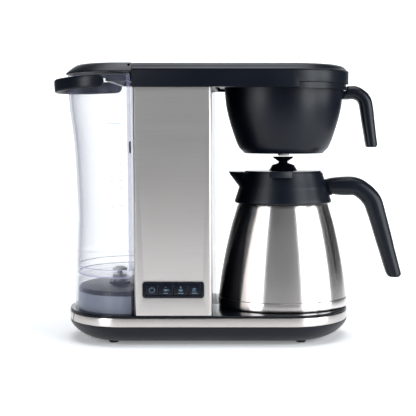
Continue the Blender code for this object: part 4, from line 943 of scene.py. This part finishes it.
collar_heights = smooth(((53.6, 150.9), (54.7, 152.0), (54.3, 154.4), (53.5, 157.0), (50.2, 167.0),
                         (49.6, 169.0), (47.2, 176.0), (45.0, 183.0), (44.4, 185.0)), 3)
collar = [collar_ring(r, z, 0) for r, z in collar_heights] + [collar_ring(44.4, 185.0, 1.6)]
collar += [collar_ring(r, z, 2.8 if z > 160 else 2.2) for r, z in collar_heights[::-1][1:] if z > 154]
collar = loft(collar + [collar_ring(52.2, 151.6, 0)], closed=True)
collar = weld(collar, side_plate(((122.0, 176.4), (132.2, 177.0), (139.3, 159.6), (128.0, 159.0)), -9.0, 9.0))
collar = cut(collar, turned(((0, 140), (49.4, 152), (47.2, 161.2), (42.6, 174.4), (42.0, 176.8), (41.6, 200),
                             (0, 200)), (CARAFE_X, 0), 120))
black("carafe_collar_moulding", collar, "carafe", "carafe_collar", edge=0.3, tip=50, sharp=40)
lid = black("carafe_twist_lid", of_node("carafe_lid"), "carafe_lid", "carafe_lid", edge=0.4, tip=45, sharp=50)
repaint(lid, DECK_BLACK, lambda middle, normal: middle.z > 187.4 or (normal.z > 0.9 and middle.z > 186))

# %% [markdown]
# ## Thick corners of the tank
# Where the tank turns to its flat side, and where its floor and its inner step join the wall, the
# plastic is much thicker than a plain wall. The eye looks through it lengthwise there, so these
# stretches read as violet lines. They are drawn as slim bars of their own inside the wall.

# %% Make the tank's thick corners, step and floor line
INSIDE_WALL = TANK_WALL + 0.05


def corner_bar(side):
    """A slim upright bar in the tank's square corner, following the wall's slope."""
    left, right = -83.4, -80.0
    rings = []
    for z, _, half in TANK_CURVE:
        if z >= 74:
            y = side * (half - INSIDE_WALL)
            rings.append([(left, y, z), (right, y, z), (right, y - side * 2.6, z), (left, y - side, z)])
    return loft(rings)


for name, side in (("front", -1), ("back", 1)):
    piece(f"tank_corner_{name}", corner_bar(side), TANK_CORNER, "tank", "clear_plastic", edge=0.3)


def wall_ledge(z, high, out, deep):
    """A ring that stands in from the tank's inner wall at one height."""
    reach, half = tank_section(z)
    rings = [tank_ring(z + dz, inset, reach, half, 6) for dz, inset in (
        (0, out), (high, out), (high * 0.8, out + deep), (high * 0.2, out + deep))]
    return loft(rings, closed=True)


piece("tank_step", wall_ledge(81.4, 1.0, INSIDE_WALL, 1.1), TANK_CORNER, "tank", "clear_plastic")
piece("tank_floor_edge", wall_ledge(73.2, 1.4, INSIDE_WALL, 1.4), TANK_CORNER, "tank", "clear_plastic")
stop_pad = side_plate(((-81.6, 208.6), (-81.0, 207.8), (-80.1, 207.8), (-80.1, 220.4), (-81.0, 220.4),
                       (-81.6, 219.6)), -79.2, -72.0)
piece("tank_stop_pad", stop_pad, FOOT_RUBBER, "tank", "rubber", edge=0.3)

# %% [markdown]
# ## Rows and rings from Geometry Nodes
# Ticks, ribs and screws repeat, so a node tree makes them. A tree has named inputs for its sizes,
# makes one copy as a mesh, puts it on points, and ends by realizing the copies and setting their
# finish. The result is then turned into a plain mesh, so nothing live is left on the piece.

# %% Node tree tools
INTEGER, LENGTH, VECTOR = "NodeSocketInt", "NodeSocketFloat", "NodeSocketVector"


def new_tree(name, **inputs):
    """A geometry tree with the named inputs and a Finish, and its input sockets."""
    tree = bpy.data.node_groups.new(name, "GeometryNodeTree")
    tree.interface.new_socket("Geometry", in_out="INPUT", socket_type="NodeSocketGeometry")
    for label, kind in inputs.items():
        tree.interface.new_socket(label, in_out="INPUT", socket_type=kind)
    tree.interface.new_socket("Finish", in_out="INPUT", socket_type="NodeSocketMaterial")
    tree.interface.new_socket("Geometry", in_out="OUTPUT", socket_type="NodeSocketGeometry")
    return tree, tree.nodes.new("NodeGroupInput").outputs


def copy_on(tree, points, one, given, **more):
    """Copies one mesh on the points, realizes the copies and gives them the tree's Finish."""
    copies = add(tree, "GeometryNodeInstanceOnPoints", {"Points": points, "Instance": one, **more})
    real = add(tree, "GeometryNodeRealizeInstances", {"Geometry": copies.outputs["Instances"]})
    dressed = add(tree, "GeometryNodeSetMaterial", {"Geometry": real.outputs["Geometry"],
                                                    "Material": given["Finish"]})
    add(tree, "NodeGroupOutput", {"Geometry": dressed.outputs["Geometry"]})


def grown(name, tree, values, look, body, slot, *stands_for, place=(0, 0, 0)):
    """Runs the tree with the given inputs, and keeps the plain mesh that it makes."""
    seed = linked(name, bpy.data.meshes.new(name))
    step = seed.modifiers.new("grow", "NODES")
    step.node_group = tree
    sockets = {item.name: item.identifier for item in tree.interface.items_tree if item.in_out == "INPUT"}
    for label, value in {**values, "Finish": look}.items():
        step[sockets[label]] = value
    mesh = evaluated(seed)
    mesh.transform(Matrix.Translation(at(*place)))
    mesh.shade_smooth()
    mesh.set_sharp_from_angle(angle=math.radians(35))
    return seat(name, mesh, body, stands_for)


print("node tree tools ready")

# %% [markdown]
# ## Filter ribs
# The ribs that hold the paper off the bowl follow its curve from the floor to near the rim. They
# are moulded with the bowl. One rib is a thin tube along a curve, and it is copied round the bowl's
# axis by turning each copy a step further, so their number can change without drawing any again.

# %% Grow the filter ribs
tree, given = new_tree("ribs_round_a_bowl", Number=INTEGER, Bottom=VECTOR, Middle=VECTOR, Top=VECTOR,
                       Thickness=LENGTH)
curve = add(tree, "GeometryNodeCurveQuadraticBezier", {
    "Resolution": 12, "Start": given["Bottom"], "Middle": given["Middle"], "End": given["Top"]})
section = add(tree, "GeometryNodeCurvePrimitiveCircle", {"Resolution": 8, "Radius": given["Thickness"]})
tube = add(tree, "GeometryNodeCurveToMesh", {"Fill Caps": True, "Curve": curve.outputs["Curve"],
                                             "Profile Curve": section.outputs["Curve"]})
spots = add(tree, "GeometryNodePoints", {"Count": given["Number"]})
index = add(tree, "GeometryNodeInputIndex", {})
share = add(tree, "ShaderNodeMath", {0: index.outputs[0], 1: given["Number"]}, operation="DIVIDE")
angle = add(tree, "ShaderNodeMath", {0: share.outputs[0], 1: math.tau}, operation="MULTIPLY")
spin = add(tree, "ShaderNodeCombineXYZ", {"Z": angle.outputs[0]})
copy_on(tree, spots.outputs[0], tube.outputs["Mesh"], given, Rotation=spin.outputs[0])
grown("filter_ribs", tree, {
    "Number": 24, "Bottom": (0.0475, 0, 0.2150), "Middle": (0.0560, 0, 0.2370), "Top": (0.0625, 0, 0.2700),
    "Thickness": 0.0009}, SATIN_BLACK, "basket", "black_plastic", place=(BASKET_X, 0, 0))

# %% [markdown]
# ## Tank graduations
# The printed marks on the tank are a ladder of short bars with a long one above, and a numeral
# beside some of them. They are pad printed, so they are almost flat on the front wall. The rungs
# come from one tree, which leans with the wall by its step.

# %% Print the tank's bars
TICKS_LOW, TICKS_HIGH, TICKS = 152.0, 206.0, 7
MARK_GREY = moulded_plastic("mark_grey", (0.52, 0.55, 0.60), (0.58, 0.61, 0.66), (0.5, 0.6), 0.2)
tree, given = new_tree("ladder_of_bars", Number=INTEGER, Step=VECTOR, Bar=VECTOR)
rungs = add(tree, "GeometryNodeMeshLine", {"Count": given["Number"], "Offset": given["Step"]})
one_bar = add(tree, "GeometryNodeMeshCube", {"Size": given["Bar"]})
copy_on(tree, rungs.outputs["Mesh"], one_bar.outputs["Mesh"], given)
tick_rise = (TICKS_HIGH - TICKS_LOW) / (TICKS - 1) * MM
BARS = (  # name, how many, step, size of one bar, place of the lowest
    ("tank_ticks", TICKS, (0, 0.00024, tick_rise), (0.0045, 0.00012, 0.0005), (-91, -78.6, TICKS_LOW)),
    ("tank_full_line", 1, (0, 0, 0.01), (0.014, 0.00012, 0.0011), (-97, -81.9, 239.5)),
)
for name, number, step, size, place in BARS:
    grown(name, tree, {"Number": number, "Step": step, "Bar": size}, MARK_GREY, "tank", "clear_plastic",
          place=place)

# %% [markdown]
# ## Tank numerals
# A numeral is printed to the left of every third bar, in the same ink. Each one is a line of text
# turned into a mesh, as thin as the ink, and stands just in front of the wall at its own height.

# %% Print the tank's numerals
INK = 0.00004


def numeral(text, x, y, z, size):
    """A small flat numeral that faces the front."""
    curve = bpy.data.curves.new(f"mark_{text}", "FONT")
    curve.body, curve.size, curve.extrude, curve.resolution_u = text, size * MM, INK, 4
    mesh = evaluated(linked(f"mark_{text}", curve))
    mesh.transform(Matrix.Translation(at(x, y, z)) @ Matrix.Rotation(math.pi / 2, 4, "X"))
    mesh.materials.clear()
    mesh.materials.append(MARK_GREY)
    seat(f"tank_numeral_{text}", mesh, "tank")


for text, z in (("4", 149.0), ("6", 176.5), ("8", 204.0)):
    _, half = tank_section(z)
    numeral(text, -101.5, -half - 0.1, z, 5.0)

# %% [markdown]
# ## Underside screws
# Four cross-head screws hold the pan. One head is a short cylinder with two slots cut across it,
# and a small grid places the four, so one drawing serves for all of them.

# %% Drive in the screws
HEAD_HIGH = 0.002
tree, given = new_tree("cross_head_screws", Length=LENGTH, Width=LENGTH, Head=LENGTH)
grid = add(tree, "GeometryNodeMeshGrid", {"Vertices X": 2, "Vertices Y": 2, "Size X": given["Length"],
                                          "Size Y": given["Width"]})
head = add(tree, "GeometryNodeMeshCylinder", {"Vertices": 28, "Depth": HEAD_HIGH, "Radius": given["Head"]})
cross = add(tree, "GeometryNodeMeshBoolean", {"Mesh 1": head.outputs["Mesh"]}, operation="DIFFERENCE")
for size in ((0.0040, 0.0009, 0.0022), (0.0009, 0.0040, 0.0022)):
    slit = add(tree, "GeometryNodeMeshCube", {"Size": size})
    lower = add(tree, "GeometryNodeTransform", {"Translation": (0, 0, -0.0011),
                                                "Geometry": slit.outputs["Mesh"]})
    feed(tree, cross, {"Mesh 2": lower.outputs["Geometry"]})
copy_on(tree, grid.outputs["Mesh"], cross.outputs["Mesh"], given)
grown("underside_screws", tree, {"Length": 0.224, "Width": 0.076, "Head": 0.0032},
      BRIGHT_STEEL, "machine", "steel_bright",
      "base_screw_front_left", "base_screw_front_right", "base_screw_back_left", "base_screw_back_right",
      place=(0, 0, 6.1))

# %% [markdown]
# ## Key marks
# Each key has a small printed sign for what it does, in pale blue grey, and a thin bar under three
# of them. They are drawn here from rings, strokes and a drop, and are generic signs.

# %% Print the key marks
SIGN_BLUE = moulded_plastic("sign_blue_grey", (0.085, 0.135, 0.185), (0.095, 0.150, 0.205), (0.4, 0.5), 0.2)
SIGN_Y = -88.9


def sign_face(outline):
    """A thin printed patch on the key's face, from an (x, z) outline."""
    return side_plate(outline, SIGN_Y - 0.08, SIGN_Y - 0.01)


def sign_arc(x, z, radius, width, first, last, steps=36):
    """An arc of a ring between two angles in degrees, measured from the right."""
    angles = [math.radians(first + (last - first) * i / steps) for i in range(steps + 1)]
    out = [(x + radius * math.cos(a), z + radius * math.sin(a)) for a in angles]
    into = [(x + (radius - width) * math.cos(a), z + (radius - width) * math.sin(a)) for a in angles[::-1]]
    return sign_face(out + into)


def sign_bar(x, z, wide, high):
    return sign_face([(x - wide / 2, z - high / 2), (x + wide / 2, z - high / 2),
                      (x + wide / 2, z + high / 2), (x - wide / 2, z + high / 2)])


def sign_drop(x, z, r):
    """A pointed drop: a round bottom drawn up to a tip."""
    arc = [(x + r * math.cos(a), z + r * math.sin(a))
           for a in (math.radians(150 + 240 * i / 24) for i in range(25))]
    return sign_face(arc + [(x, z + r * 2.1)])


def sign_bowl(x, z, wide, deep):
    return sign_face([(x + wide * math.cos(a), z + deep * math.sin(a))
                      for a in (math.pi + math.pi * i / 20 for i in range(21))])


def together(*shapes):
    """One mesh from several shapes that don't touch."""
    made = bmesh.new()
    for shape in shapes:
        mesh = bpy.data.meshes.new("part")
        shape.to_mesh(mesh)
        shape.free()
        made.from_mesh(mesh)
        bpy.data.meshes.remove(mesh)
    return made


SIGNS = {
    "power": lambda x: (sign_arc(x, 62.4, 3.1, 0.6, 120, 420), sign_bar(x, 64.7, 0.6, 2.4)),
    "brew": lambda x: (sign_bowl(x, 63.2, 2.3, 2.0), sign_arc(x + 2.3, 62.5, 1.1, 0.4, -80, 80, 12),
                       sign_bar(x, 65.3, 1.8, 0.45), sign_bar(x, 59.0, 4.8, 0.8)),
    "bloom": lambda x: (sign_bowl(x, 63.0, 2.4, 2.1), sign_drop(x, 65.0, 0.8), sign_bar(x, 59.0, 6.0, 0.8)),
    "warm": lambda x: (sign_arc(x, 62.4, 2.3, 0.55, 40, 320), sign_drop(x, 62.6, 0.9),
                       sign_bar(x, 59.0, 6.0, 0.8)),
}
for key, draw in SIGNS.items():
    low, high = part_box(f"key_{key}")
    middle = ((low.x + high.x) / 2 - BASE_MIDDLE) / MM
    piece(f"sign_{key}", together(*draw(middle)), SIGN_BLUE, f"key_{key}", "black_plastic")

# %% [markdown]
# ## Band seam
# The steel strip is rolled round the base and its ends meet near the left end, on a slant, so that
# a finger can't catch on them. The joint shows as one thin dark line.

# %% Cut the band's seam
def band_point(x):
    """A point on the front of the band's plan, at drawing X."""
    t = (x + END_X) / END_REACH
    return Vector((x, -BASE_WIDTH / 2 * math.sqrt(1 - t * t)))


SEAM_LOW, SEAM_HIGH = -149.4, -147.0
rings = []
for z, middle in ((22.4, SEAM_LOW), (31.2, SEAM_HIGH)):
    left, right = band_point(middle - 0.5), band_point(middle + 0.5)
    along = (right - left).normalized()
    outward = Vector((along.y, -along.x))
    rings.append([(*(p + outward * d), z)
                  for p, d in ((left, -0.3), (right, -0.3), (right, 0.06), (left, 0.06))])
black("band_seam_line", loft(rings), "machine")

# %% [markdown]
# ## Pieces that keep their CAD shape
# Springs, hoses, boards and the parts inside the tower are seldom seen. Their shapes are already
# right, so they keep them and only take a proper finish, by the material slot that the record gives.

# %% Finish what is carried over
BOARD_GREEN = moulded_plastic("board_green", (0.010, 0.055, 0.025), (0.014, 0.075, 0.035), (0.35, 0.5),
                              0.5, 300.0)
LINER_STEEL = brushed_round("liner_steel", (0.62, 0.61, 0.60), (0.16, 0.26))
CARRIED = {
    "grey_plastic": CHASSIS_GREY, "white_plastic": VALVE_WHITE, "rubber": FOOT_RUBBER,
    "silicone": SILICONE, "cast_alloy": CAST_ALLOY, "board": BOARD_GREEN,
    "steel_bright": BRIGHT_STEEL, "steel_brushed": LINER_STEEL, "black_plastic": SATIN_BLACK,
    "clear_plastic": TANK_CLEAR,
}
slot_of = {part["node"]: part["material_slot"] for part in frame["record"]["subparts"]}
for node, obj in frame["nodes"].items():
    obj.data.materials.clear()
    obj.data.materials.append(LINER_STEEL if node == "carafe_liner" else CARRIED[slot_of[node]])
print("carried over:", len(frame["nodes"]), "nodes given a finish")
